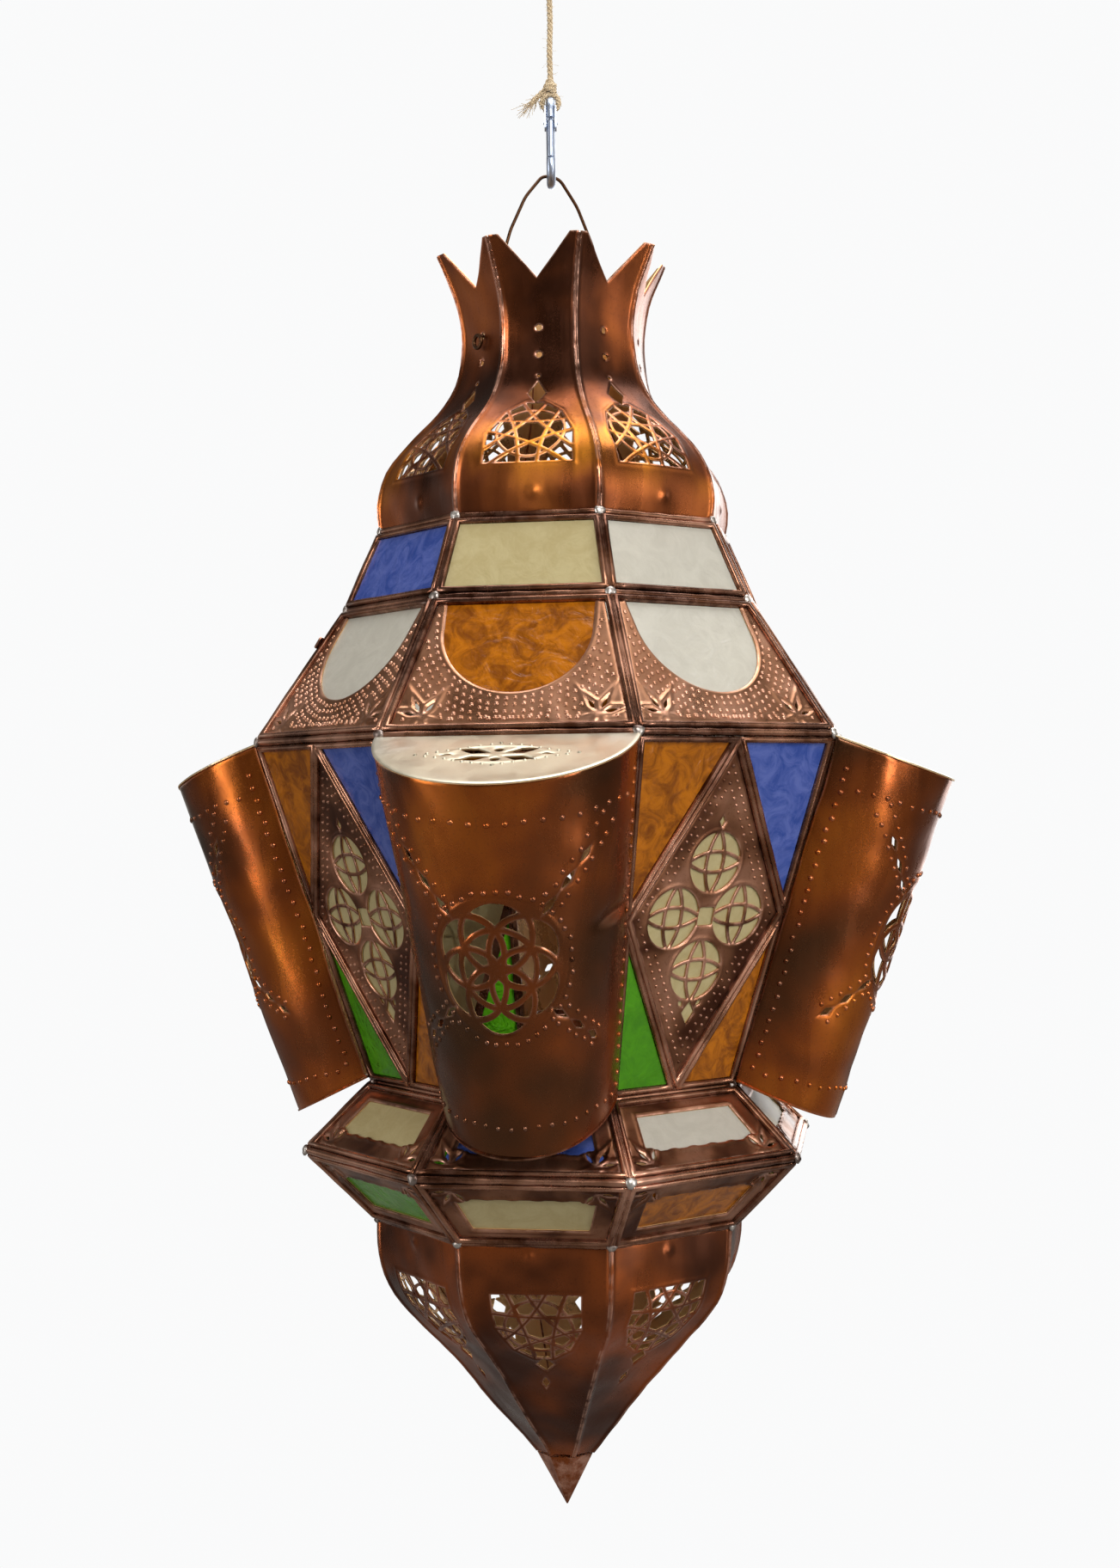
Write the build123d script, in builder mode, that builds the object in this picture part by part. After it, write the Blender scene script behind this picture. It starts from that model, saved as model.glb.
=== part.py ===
"""Hanging candle lantern.

An eight-sided shell of pierced copper sheet and coloured glass: a crowned ogee dome, a collar of
glass, a punched shoulder, a tapering body with four half-round bays, a flared skirt and an ogee
foot that ends in a point. It hangs from a wire bail, a snap hook and a length of twine.

Millimetres, +Z up. The origin is the inside top of the twine's hanging loop, so heights are
negative. Facets are numbered anticlockwise seen from above, and facet 0 faces -Y.
"""
from build123d import *
from math import cos, sin, tan, radians, hypot
import os

os.makedirs("parts", exist_ok=True)

# --- Shell: corner radius and height of each ring where the facets fold ---
SIDES = 8
HALF_FACET = radians(180 / SIDES)
COLLAR_TOP = (85.4, -282.3)
COLLAR_FOOT = (102.5, -320.2)
WIDEST = (145.0, -382.4)
WAIST = (91.8, -543.8)
SKIRT_RIM = (124.3, -574.7)
RIM_FOOT = (90.6, -608.6)
TIP_TOP = (14.6, -725.2)
TIP_HEIGHT = 27.2

# --- Bands of facets, each between two rings ---
COLLAR = (COLLAR_TOP, COLLAR_FOOT)
SHOULDER = (COLLAR_FOOT, WIDEST)
BODY = (WIDEST, WAIST)
SKIRT = (WAIST, SKIRT_RIM)
UNDER_RIM = (SKIRT_RIM, RIM_FOOT)

# --- Sheet, glass and rolled edging ---
SHEET = 0.8
GLASS = 2.0
GLASS_BACK = -2.4
CAME_WIDTH = 2.6
CAME_OUT = 1.4
CAME_IN = 1.6
SEAM_GAP = 0.25
END_GAP = 1.8
FIT_GAP = 0.25

# --- Ogee profiles of the two domes, as corner radius and height ---
UPPER_PROFILE = [
    (85.4, -281.6), (86.7, -270.5), (81.5, -252.5), (63.5, -233.0),
    (49.8, -215.8), (44.8, -194.5), (46.7, -172.3), (56.5, -148.6),
]
LOWER_PROFILE = [
    (90.2, -609.4), (89.8, -620.0), (84.1, -643.5), (66.1, -664.7), (35.7, -699.6), (14.6, -725.0),
]
CROWN_VALLEY_Z = -167.5
CROWN_TIP_HALF = 4.6
NECK_HOLE_R = 1.3
NECK_HOLE_Z = (-190.1, -202.9)

# --- Half-round bays on the four main facets ---
BAY_TOP_HALF = 56.5
BAY_TOP_DEPTH = 59.0
BAY_FOOT_HALF = 38.5
BAY_FOOT_DEPTH = 50.5
BAY_START = 1.7
BAY_OVERRUN = 14.0
BAY_TOP_TILT = 4.0
BAY_FOOT_TILT = 9.0
BAY_FOOT_LIFT = 3.0

# --- Windows in the punched and embossed panels ---
SHOULDER_WINDOW_R = 33.0
SHOULDER_WINDOW_DROP = 15.0
BAND_WINDOW_MARGIN = 9.0
WINDOW_OVERLAP = 3.0

# --- Door: the shoulder panel of facet 6, hinged along its lower edge ---
DOOR_FACET = 6
HINGE_PIN_R = 0.8
HINGE_BORE_R = 0.86
KNUCKLE_R = 1.6
HINGE_OUT = 3.4
HINGE_UP = 1.5
DOOR_KNUCKLE_HALF = 13.5
SHELL_KNUCKLE_END = 22.0
LEAF_REACH = 8.0
LEAF_THICK = 0.6
PULL_RISE = 0.24
PULL_LENGTH = 11.0
PULL_WIDTH = 6.0
PULL_CORNER = 1.5
PULL_INSET = 0.5

# --- Candle fittings inside ---
BRIDGE_Z = -539.0
BRIDGE_TURN = 45.0
BRIDGE_HALF_LENGTH = 82.0
BRIDGE_WIDTH = 20.0
BRIDGE_THICK = 1.2
BRIDGE_EAR = 10.0
PAN_R = 34.0
PAN_LIP = 5.0
CUP_BORE_R = 11.5
CUP_WALL = 1.0
CUP_DEPTH = 22.0
CUP_MOUTH_ROUND = 0.3

# --- Hanging tackle ---
TACKLE_TURN = -80.9
TWINE_D = 2.9
TWINE_BEND_SHARE = 0.45
HANG_LOOP_R = 7.0
KNOT_R = 3.6
KNOT_SINK = 0.6
TAIL_RUN = 10.0
TAIL_START_R = 1.2
TAIL_END_R = 2.4
TWINE_ROUTE = [(0, 0, -16.5), (0.5, 0.2, -32.0), (-0.3, -0.1, -47.0), (0.2, 0.1, -61.0)]
HOOK_WIRE_R = 2.2
HOOK_BEND_R = 7.8
HOOK_TOP_Z = -71.0
HOOK_FOOT_Z = -110.8
HOOK_LOOP_R = 4.0
HOOK_ARM_GAP = 1.3
HOOK_EAR_THICK = 0.8
HOOK_EAR_GAP = 0.2
GATE_R = 1.9
GATE_ROUND = 0.9
GATE_LENGTH = 18.4
GATE_PIN_R = 0.6
GATE_PIN_DROP = 12.8
GATE_PIN_PROUD = 0.5
PIN_PRESS_GAP = 0.01
PIN_TURN_GAP = 0.06
BAIL_WIRE_R = 0.8
BAIL_TURN = 45.0
BAIL_CURL_R = 3.0
BAIL_CURL_WIRE_R = 0.9

# --- Half of the bail's arch, as distance from the axis and height, and its bend radii from end to end ---
BAIL_HALF_ARCH = [
    (44.6, -190.1), (36.0, -190.1), (33.5, -164.0), (24.5, -137.0), (15.5, -119.5), (5.0, -107.5),
]
BAIL_BEND_RADII = [2.4, 24.0, 30.0, 26.0, 7.0, 7.0, 26.0, 30.0, 24.0, 2.4]

# --- Glass colours round the shell, facet 0 first ---
COLLAR_COLOURS = ["cream", "clear", "blue", "cream", "clear", "cream", "clear", "blue"]
SHOULDER_COLOURS = ["amber", "clear", "amber", "clear", "amber", "clear", "amber", "clear"]
SKIRT_COLOURS = ["blue", "clear", "cream", "clear", "blue", "clear", "clear", "cream"]
RIM_COLOURS = ["cream", "amber", "green", "cream", "amber", "green", "cream", "green"]


def save(piece, label):
    """Label a finished piece and write its STEP file."""
    piece.part.label = label
    export_step(piece.part, f"parts/{label}.step")
    print(f"{label}: {len(piece.part.solids())} solids, {piece.part.volume:.0f} mm3")


def heading(index):
    """Angle of a facet's outward direction, in radians."""
    return radians(-90 + index * 360 / SIDES)


def slope(top, foot):
    """Length of a band's facet and its up-slope direction as (radial, vertical)."""
    run = (top[0] - foot[0]) * cos(HALF_FACET)
    rise = top[1] - foot[1]
    length = hypot(run, rise)
    return length, run / length, rise / length


def facet_plane(top, foot, index):
    """Plane of a facet: x along the ring, y up the slope, z outward, origin at its middle."""
    turn = heading(index)
    _, up_r, up_z = slope(top, foot)
    reach = (top[0] + foot[0]) / 2 * cos(HALF_FACET)
    middle = Vector(reach * cos(turn), reach * sin(turn), (top[1] + foot[1]) / 2)
    outward = Vector(up_z * cos(turn), up_z * sin(turn), -up_r)
    return Plane(origin=middle, x_dir=(-sin(turn), cos(turn), 0), z_dir=outward)


def facet_corners(top, foot, offset, side_gap, end_gap):
    """A facet's four corners on a plane parallel to it, mitred to its neighbours."""
    length, up_r, up_z = slope(top, foot)
    middle = (top[0] + foot[0]) / 2 * cos(HALF_FACET)
    low = -length / 2 + end_gap
    high = length / 2 - end_gap
    low_half = (middle + low * up_r + offset * up_z) * tan(HALF_FACET) - side_gap
    high_half = (middle + high * up_r + offset * up_z) * tan(HALF_FACET) - side_gap
    feet = [Vector(-low_half, low), Vector(low_half, low)]
    return feet + [Vector(high_half, high), Vector(-high_half, high)]


def inset(corners, margin):
    """A convex outline, given anticlockwise, with every edge moved in by the margin."""
    shrunk = []
    befores = corners[-1:] + corners[:-1]
    afters = corners[1:] + corners[:1]
    for before, here, after in zip(befores, corners, afters):
        arriving = (here - before).normalized()
        leaving = (after - here).normalized()
        half_turn = radians(arriving.get_angle(leaving)) / 2
        shrunk.append(here + (leaving - arriving).normalized() * (margin / cos(half_turn)))
    return shrunk


def sheet_on(plane, corners, low, high, window=None):
    """A flat piece on a facet, between two heights above it, with an optional window outline."""
    with BuildPart() as piece:
        with BuildSketch(plane.offset(low)):
            Polygon(*corners, align=None)
            if window:
                Polygon(*window, align=None, mode=Mode.SUBTRACT)
        extrude(amount=high - low)
    return piece.part


def came_frame(top, foot, index, openings):
    """Rolled edging round one facet: a mitred plate with its openings cut through."""
    plane = facet_plane(top, foot, index)
    with BuildPart() as frame:
        for offset in (-CAME_IN, CAME_OUT):
            with BuildSketch(plane.offset(offset)):
                Polygon(*facet_corners(top, foot, offset, SEAM_GAP, END_GAP), align=None)
        loft()
        for opening in openings:
            with BuildSketch(plane):
                Polygon(*opening, align=None)
            extrude(amount=2 * CAME_OUT, both=True, mode=Mode.SUBTRACT)
    return frame.part


def facet_opening(top, foot):
    """The opening inside a facet's edging."""
    return inset(facet_corners(top, foot, 0, SEAM_GAP, END_GAP), CAME_WIDTH)


def group(pieces):
    """Separate like pieces gathered in one sub-part."""
    with BuildPart() as gathered:
        add(pieces)
    return gathered


# --- Lozenge facets: the rhomb between the edge middles and the four corner triangles ---
body_corners = facet_corners(*BODY, 0, SEAM_GAP, END_GAP)
foot_left, foot_right, top_right, top_left = body_corners
mid_foot = (foot_left + foot_right) / 2
mid_right = (foot_right + top_right) / 2
mid_top = (top_right + top_left) / 2
mid_left = (top_left + foot_left) / 2
lozenge = [mid_foot, mid_right, mid_top, mid_left]
corner_colours = [
    ("green", [foot_left, mid_foot, mid_left]),
    ("amber", [foot_right, mid_right, mid_foot]),
    ("blue", [top_right, mid_top, mid_right]),
    ("amber", [top_left, mid_left, mid_top]),
]
lozenge_openings = [inset(lozenge, CAME_WIDTH)]
for _, triangle in corner_colours:
    lozenge_openings.append(inset(triangle, CAME_WIDTH))

# --- Edging of every fixed facet ---
frames = []
for index in range(SIDES):
    for band in (COLLAR, SHOULDER, SKIRT, UNDER_RIM):
        if band == SHOULDER and index == DOOR_FACET:
            continue
        frames.append(came_frame(*band, index, [facet_opening(*band)]))
    if index % 2:
        frames.append(came_frame(*BODY, index, lozenge_openings))
    else:
        frames.append(came_frame(*BODY, index, [facet_opening(*BODY)]))
came_frames = group(frames)
save(came_frames, "came_frames")

# --- Glass, gathered by colour ---
def pane(plane, outline, back):
    """A pane of glass on a facet, with its back at the given height."""
    return sheet_on(plane, outline, back, back + GLASS)


PANE_BACK = GLASS_BACK + SHEET
glass = {"amber": [], "blue": [], "green": [], "cream": [], "clear": []}
for index in range(SIDES):
    collar_outline = inset(facet_opening(*COLLAR), FIT_GAP)
    collar_pane = pane(facet_plane(*COLLAR, index), collar_outline, PANE_BACK)
    glass[COLLAR_COLOURS[index]].append(collar_pane)
    if index % 2:
        plane = facet_plane(*BODY, index)
        for colour, triangle in corner_colours:
            glass[colour].append(pane(plane, inset(triangle, CAME_WIDTH + FIT_GAP), PANE_BACK))
        glass["cream"].append(pane(plane, inset(lozenge, CAME_WIDTH + FIT_GAP), GLASS_BACK))


def shoulder_pane(index):
    """Pane behind the round-bottomed window of a shoulder panel."""
    top_edge = inset(facet_opening(*SHOULDER), FIT_GAP)[2].Y
    half = SHOULDER_WINDOW_R + WINDOW_OVERLAP
    low_edge = top_edge - SHOULDER_WINDOW_DROP - half
    feet = [Vector(-half, low_edge), Vector(half, low_edge)]
    outline = feet + [Vector(half, top_edge), Vector(-half, top_edge)]
    return pane(facet_plane(*SHOULDER, index), outline, GLASS_BACK)


def band_window(band):
    """Window outline of a skirt or under-rim panel."""
    return inset(facet_opening(*band), BAND_WINDOW_MARGIN)


def band_pane(band, index):
    """Pane behind the window of a skirt or under-rim panel."""
    outline = inset(facet_opening(*band), BAND_WINDOW_MARGIN - WINDOW_OVERLAP)
    return pane(facet_plane(*band, index), outline, GLASS_BACK)


for index in range(SIDES):
    if index != DOOR_FACET:
        glass[SHOULDER_COLOURS[index]].append(shoulder_pane(index))
    glass[SKIRT_COLOURS[index]].append(band_pane(SKIRT, index))
    glass[RIM_COLOURS[index]].append(band_pane(UNDER_RIM, index))
for colour, panes in glass.items():
    colour_group = group(panes)
    save(colour_group, f"glass_{colour}")


# --- Punched shoulder panels ---
def shoulder_panel(index):
    """Copper trapezium with a round-bottomed window cut in from its upper edge."""
    plane = facet_plane(*SHOULDER, index)
    outline = inset(facet_opening(*SHOULDER), FIT_GAP)
    top_edge = outline[2].Y
    centre_y = top_edge - SHOULDER_WINDOW_DROP
    with BuildPart() as panel:
        with BuildSketch(plane):
            Polygon(*outline, align=None)
            with Locations((0, centre_y)):
                Circle(SHOULDER_WINDOW_R, mode=Mode.SUBTRACT)
            with Locations((0, (top_edge + centre_y) / 2 + SHEET)):
                Rectangle(2 * SHOULDER_WINDOW_R, SHOULDER_WINDOW_DROP + 2 * SHEET, mode=Mode.SUBTRACT)
        extrude(amount=SHEET)
    return panel


for index in range(SIDES):
    if index != DOOR_FACET:
        save(shoulder_panel(index), f"shoulder_panel_{index}")

# --- Embossed lozenge panels ---
for index in range(1, SIDES, 2):
    with BuildPart() as lozenge_panel:
        with BuildSketch(facet_plane(*BODY, index)):
            Polygon(*inset(lozenge, CAME_WIDTH + FIT_GAP), align=None)
        extrude(amount=SHEET)
    save(lozenge_panel, f"lozenge_panel_{index}")

# --- Skirt and under-rim panels ---
for label, band in (("skirt_panels", SKIRT), ("under_rim_panels", UNDER_RIM)):
    outline = inset(facet_opening(*band), FIT_GAP)
    window = band_window(band)
    panels = [sheet_on(facet_plane(*band, index), outline, 0, SHEET, window) for index in range(SIDES)]
    save(group(panels), label)


# --- Dome panels ---
def radial_plane(index):
    """Upright plane through the axis and a facet's middle: x outward, y up."""
    turn = heading(index)
    across = (sin(turn), -cos(turn), 0)
    return Plane(origin=(0, 0, 0), x_dir=(cos(turn), sin(turn), 0), z_dir=across)


def dome_panel(index, profile, crowned):
    """One facet of a dome: sheet bent to the ogee profile and trimmed at its two seams."""
    turn = heading(index)
    outward = Plane(origin=(0, 0, 0), x_dir=(cos(turn), sin(turn), 0), z_dir=(0, 0, 1))
    across = outward.y_dir
    reach = 2 * WIDEST[0]
    start = SEAM_GAP / sin(HALF_FACET)
    spread = (reach - start) * tan(HALF_FACET)
    with BuildPart() as panel:
        with BuildSketch(radial_plane(index)):
            with BuildLine() as bend:
                Spline(*[(r * cos(HALF_FACET), z) for r, z in profile])
            trace(bend.line, line_width=SHEET)
        extrude(amount=WIDEST[0], both=True)
        with BuildSketch(outward.offset(TIP_TOP[1] - TIP_HEIGHT)):
            Polygon((start, 0), (reach, -spread), (reach, spread), align=None)
        extrude(amount=-TIP_TOP[1], mode=Mode.INTERSECT)
        if crowned:
            tip_r, tip_z = profile[-1]
            shoulder = tip_r * sin(HALF_FACET) - CROWN_TIP_HALF
            rise = tip_z - CROWN_VALLEY_Z
            with BuildSketch(Plane(origin=(0, 0, 0), x_dir=across, z_dir=outward.x_dir)):
                with Locations((0, CROWN_VALLEY_Z)):
                    Polygon((0, 0), (2 * shoulder, 2 * rise), (-2 * shoulder, 2 * rise), align=None)
                with Locations(*[(0, z) for z in NECK_HOLE_Z]):
                    Circle(NECK_HOLE_R)
            extrude(amount=reach, mode=Mode.SUBTRACT)
    return panel


for index in range(SIDES):
    save(dome_panel(index, UPPER_PROFILE, True), f"upper_dome_panel_{index}")
    save(dome_panel(index, LOWER_PROFILE, False), f"lower_dome_panel_{index}")

# --- Pointed foot: a folded hollow pyramid ---
with BuildPart() as tip_cone:
    for shrink in (0, 2 * SHEET):
        with BuildSketch(Plane.XY.offset(TIP_TOP[1] - SHEET)):
            RegularPolygon(TIP_TOP[0] - shrink, SIDES, rotation=180 / SIDES)
        with BuildSketch(Plane.XY.offset(TIP_TOP[1] - TIP_HEIGHT + 2 * shrink)):
            RegularPolygon(SHEET / 2, SIDES, rotation=180 / SIDES)
        loft(mode=Mode.SUBTRACT if shrink else Mode.ADD)
save(tip_cone, "tip_cone")


# --- Half-round bays ---
def bay_block(index, shrink):
    """Solid half-round form of a bay, longer than the bay at both ends."""
    plane = facet_plane(*BODY, index)
    length, _, _ = slope(*BODY)
    narrowing = (BAY_TOP_HALF - BAY_FOOT_HALF) / length
    flattening = (BAY_TOP_DEPTH - BAY_FOOT_DEPTH) / length
    with BuildPart() as block:
        for end in (1, -1):
            height = end * (length / 2 + BAY_OVERRUN)
            half = (BAY_TOP_HALF + BAY_FOOT_HALF) / 2 + height * narrowing - shrink
            depth = (BAY_TOP_DEPTH + BAY_FOOT_DEPTH) / 2 + height * flattening - shrink - BAY_START
            origin = plane.origin + plane.y_dir * height + plane.z_dir * BAY_START
            with BuildSketch(Plane(origin=origin, x_dir=plane.x_dir, z_dir=-plane.y_dir)):
                with BuildLine():
                    EllipticalCenterArc((0, 0), half, depth, start_angle=0, arc_size=180)
                    Line((half, 0), (-half, 0))
                make_face()
        loft()
    return block.part


def bay_end(index, top):
    """Tilted plane that closes a bay at its top or foot, with its normal pointing out of the bay."""
    plane = facet_plane(*BODY, index)
    length, _, _ = slope(*BODY)
    height = length / 2 if top else BAY_FOOT_LIFT - length / 2
    tilt = BAY_TOP_TILT if top else BAY_FOOT_TILT
    along = plane.z_dir * cos(radians(tilt)) - plane.y_dir * sin(radians(tilt))
    origin = plane.origin + plane.y_dir * height
    upright = plane.x_dir.cross(along) * -1
    return Plane(origin=origin, x_dir=plane.x_dir, z_dir=upright if top else -upright)


top_caps = []
foot_caps = []
for index in range(0, SIDES, 2):
    block = bay_block(index, 0)
    hollow = bay_block(index, SHEET)
    with BuildPart() as bay_shell:
        add(block)
        add(hollow, mode=Mode.SUBTRACT)
        for top in (True, False):
            split(bisect_by=bay_end(index, top).offset(-SHEET - FIT_GAP), keep=Keep.BOTTOM)
    save(bay_shell, f"bay_shell_{index}")
    for top, caps in ((True, top_caps), (False, foot_caps)):
        with BuildPart() as cap:
            with BuildSketch(bay_end(index, top).offset(-SHEET)):
                Rectangle(4 * BAY_TOP_HALF, 4 * BAY_TOP_HALF)
            extrude(amount=SHEET)
            add(block, mode=Mode.INTERSECT)
        caps.append(cap.part)
save(group(top_caps), "bay_top_caps")
save(group(foot_caps), "bay_foot_caps")

# --- Door and its hinge ---
door_plane = facet_plane(*SHOULDER, DOOR_FACET)
door_length, _, _ = slope(*SHOULDER)
save(shoulder_panel(DOOR_FACET), "door_panel")
door_frame = group([came_frame(*SHOULDER, DOOR_FACET, [facet_opening(*SHOULDER)])])
save(door_frame, "door_frame")
save(group([shoulder_pane(DOOR_FACET)]), "door_glass")

hinge_rise = HINGE_UP - door_length / 2
hinge_origin = door_plane.origin + door_plane.y_dir * hinge_rise + door_plane.z_dir * HINGE_OUT
hinge_plane = Plane(origin=hinge_origin, x_dir=door_plane.y_dir, z_dir=door_plane.x_dir)

with BuildPart() as hinge_pin:
    with BuildSketch(hinge_plane.offset(-SHELL_KNUCKLE_END - SHEET)):
        Circle(HINGE_PIN_R)
    extrude(amount=2 * (SHELL_KNUCKLE_END + SHEET))
save(hinge_pin, "hinge_pin")


def hinge_leaf(start, end, away):
    """Knuckle tube between two places on the hinge line, with a flat leaf reaching away from it."""
    leaf_plane = Plane(origin=hinge_origin, x_dir=away, z_dir=door_plane.x_dir)
    with BuildPart() as leaf:
        with BuildSketch(leaf_plane.offset(start)):
            Circle(KNUCKLE_R)
            with Locations((LEAF_REACH / 2, KNUCKLE_R - LEAF_THICK / 2)):
                Rectangle(LEAF_REACH, LEAF_THICK)
            Circle(HINGE_BORE_R, mode=Mode.SUBTRACT)
        extrude(amount=end - start)
    return leaf.part


door_hinge_leaf = hinge_leaf(-DOOR_KNUCKLE_HALF, DOOR_KNUCKLE_HALF, door_plane.y_dir)
save(group([door_hinge_leaf]), "door_hinge_leaf")
cap_plane = bay_end(DOOR_FACET, True)
cap_out = cap_plane.x_dir.cross(cap_plane.z_dir)
if cap_out.dot(door_plane.z_dir) < 0:
    cap_out = -cap_out
shell_leaves = []
for side in (-1, 1):
    ends = sorted((side * (DOOR_KNUCKLE_HALF + FIT_GAP), side * SHELL_KNUCKLE_END))
    shell_leaves.append(hinge_leaf(*ends, cap_out))
save(group(shell_leaves), "shell_hinge_leaves")

# Bent tab on the door's front edge, for a fingertip.
pull_y = PULL_RISE * door_length
pull_edge = facet_corners(*SHOULDER, 0, 0, door_length / 2 - pull_y)[2].X
with BuildPart() as door_pull:
    with BuildSketch(door_plane.offset(CAME_OUT + FIT_GAP / 2)):
        with Locations((pull_edge - PULL_INSET, pull_y)):
            RectangleRounded(PULL_LENGTH, PULL_WIDTH, PULL_CORNER)
    extrude(amount=SHEET)
save(door_pull, "door_pull")

# --- Candle bridge, drip pan and cup ---
bridge_plane = Plane.XY.offset(BRIDGE_Z).rotated((0, 0, BRIDGE_TURN))
ear_middle = BRIDGE_HALF_LENGTH - BRIDGE_THICK / 2
with BuildPart() as candle_bridge:
    with BuildSketch(bridge_plane):
        Rectangle(2 * BRIDGE_HALF_LENGTH, BRIDGE_WIDTH)
    extrude(amount=BRIDGE_THICK)
    with BuildSketch(bridge_plane):
        with Locations((ear_middle, 0), (-ear_middle, 0)):
            Rectangle(BRIDGE_THICK, BRIDGE_WIDTH)
    extrude(amount=BRIDGE_EAR)
save(candle_bridge, "candle_bridge")

pan_floor = BRIDGE_Z + BRIDGE_THICK
pan_middle = pan_floor + SHEET / 2
with BuildPart() as drip_pan:
    with BuildSketch(Plane.XZ):
        with BuildLine() as pan_line:
            Polyline((0, pan_middle), (PAN_R - PAN_LIP, pan_middle), (PAN_R, pan_floor + PAN_LIP))
        trace(pan_line.line, line_width=SHEET)
        with Locations((-PAN_R / 2, pan_floor)):
            Rectangle(PAN_R, 2 * PAN_LIP, mode=Mode.SUBTRACT)
    revolve(axis=Axis.Z)
save(drip_pan, "drip_pan")

cup_floor = pan_floor + SHEET
with BuildPart() as candle_cup:
    with BuildSketch(Plane.XY.offset(cup_floor)):
        Circle(CUP_BORE_R + CUP_WALL)
    extrude(amount=CUP_WALL + CUP_DEPTH)
    with BuildSketch(Plane.XY.offset(cup_floor + CUP_WALL)):
        Circle(CUP_BORE_R)
    extrude(amount=CUP_DEPTH, mode=Mode.SUBTRACT)
    fillet(candle_cup.edges().group_by(Axis.Z)[-1], CUP_MOUTH_ROUND)
save(candle_cup, "candle_cup")
print(f"candle cup mouth at z {cup_floor + CUP_WALL + CUP_DEPTH:.2f}")

# --- Wire bail: an arch hooked into two opposite neck holes ---
bail_plane = Plane.XZ.rotated((0, 0, BAIL_TURN))
arch = BAIL_HALF_ARCH + [(-reach, z) for reach, z in reversed(BAIL_HALF_ARCH)]
with BuildPart() as bail_wire:
    with BuildLine(bail_plane) as arch_line:
        FilletPolyline(*arch, radius=BAIL_BEND_RADII)
    with BuildSketch(Plane(origin=arch_line.line @ 0, z_dir=arch_line.line % 0)):
        Circle(BAIL_WIRE_R)
    sweep(path=arch_line.line)
    for end in (1, -1):
        across = bail_plane.x_dir * end
        curl_reach = BAIL_HALF_ARCH[0][0] - BAIL_WIRE_R / 2
        centre = across * curl_reach + Vector(0, 0, NECK_HOLE_Z[0] - BAIL_CURL_R)
        with Locations(Plane(origin=centre, z_dir=across)):
            Torus(BAIL_CURL_R, BAIL_CURL_WIRE_R)
save(bail_wire, "bail_wire")

# --- Snap hook: an oval of thick wire with a sprung gate ---
tackle_turn = radians(TACKLE_TURN)
hook_across = (cos(tackle_turn), sin(tackle_turn), 0)
hook_normal = (sin(tackle_turn), -cos(tackle_turn), 0)
hook_plane = Plane(origin=(0, 0, 0), x_dir=hook_across, z_dir=hook_normal)
hook_high = HOOK_TOP_Z - HOOK_BEND_R
hook_low = HOOK_FOOT_Z + HOOK_BEND_R
pin_z = HOOK_TOP_Z - GATE_PIN_DROP
gate_top = pin_z + GATE_R
gate_foot = gate_top - GATE_LENGTH
ear_outside = GATE_R + HOOK_EAR_GAP + HOOK_EAR_THICK
with BuildPart() as snap_hook:
    with BuildLine(hook_plane) as hook_line:
        Line((HOOK_BEND_R, gate_top + HOOK_ARM_GAP), (HOOK_BEND_R, hook_high))
        CenterArc((0, hook_high), HOOK_BEND_R, 0, 180)
        Line((-HOOK_BEND_R, hook_high), (-HOOK_BEND_R, hook_low))
        CenterArc((0, hook_low), HOOK_BEND_R, 180, 180)
        Line((HOOK_BEND_R, hook_low), (HOOK_BEND_R, gate_foot - HOOK_ARM_GAP / 2))
    with BuildSketch(Plane(origin=hook_line.line @ 0, z_dir=hook_line.line % 0)):
        Circle(HOOK_WIRE_R)
    sweep(path=hook_line.line)
    for side in (-1, 1):
        inner = side * (GATE_R + HOOK_EAR_GAP)
        with BuildSketch(hook_plane.offset(inner)):
            with Locations((HOOK_BEND_R, (hook_high + pin_z) / 2)):
                SlotOverall(hook_high - pin_z + 4 * GATE_R, 2 * GATE_R, rotation=90)
        extrude(amount=side * HOOK_EAR_THICK)
    with BuildSketch(hook_plane.offset(-2 * GATE_R)):
        with Locations((HOOK_BEND_R, pin_z)):
            Circle(GATE_PIN_R + PIN_PRESS_GAP)
    extrude(amount=4 * GATE_R, mode=Mode.SUBTRACT)
save(snap_hook, "snap_hook")

with BuildPart() as gate_pin:
    with BuildSketch(hook_plane):
        with Locations((HOOK_BEND_R, pin_z)):
            Circle(GATE_PIN_R)
    extrude(amount=ear_outside + GATE_PIN_PROUD, both=True)
save(gate_pin, "gate_pin")

with BuildPart() as hook_gate:
    gate_base = hook_plane.from_local_coords((HOOK_BEND_R, gate_foot, 0))
    with BuildSketch(Plane(origin=gate_base, z_dir=(0, 0, 1))):
        Circle(GATE_R)
    extrude(amount=GATE_LENGTH)
    fillet(hook_gate.edges().filter_by(GeomType.CIRCLE), GATE_ROUND)
    with BuildSketch(hook_plane.offset(-2 * GATE_R)):
        with Locations((HOOK_BEND_R, pin_z)):
            Circle(GATE_PIN_R + PIN_TURN_GAP)
    extrude(amount=4 * GATE_R, mode=Mode.SUBTRACT)
save(hook_gate, "hook_gate")

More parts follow.
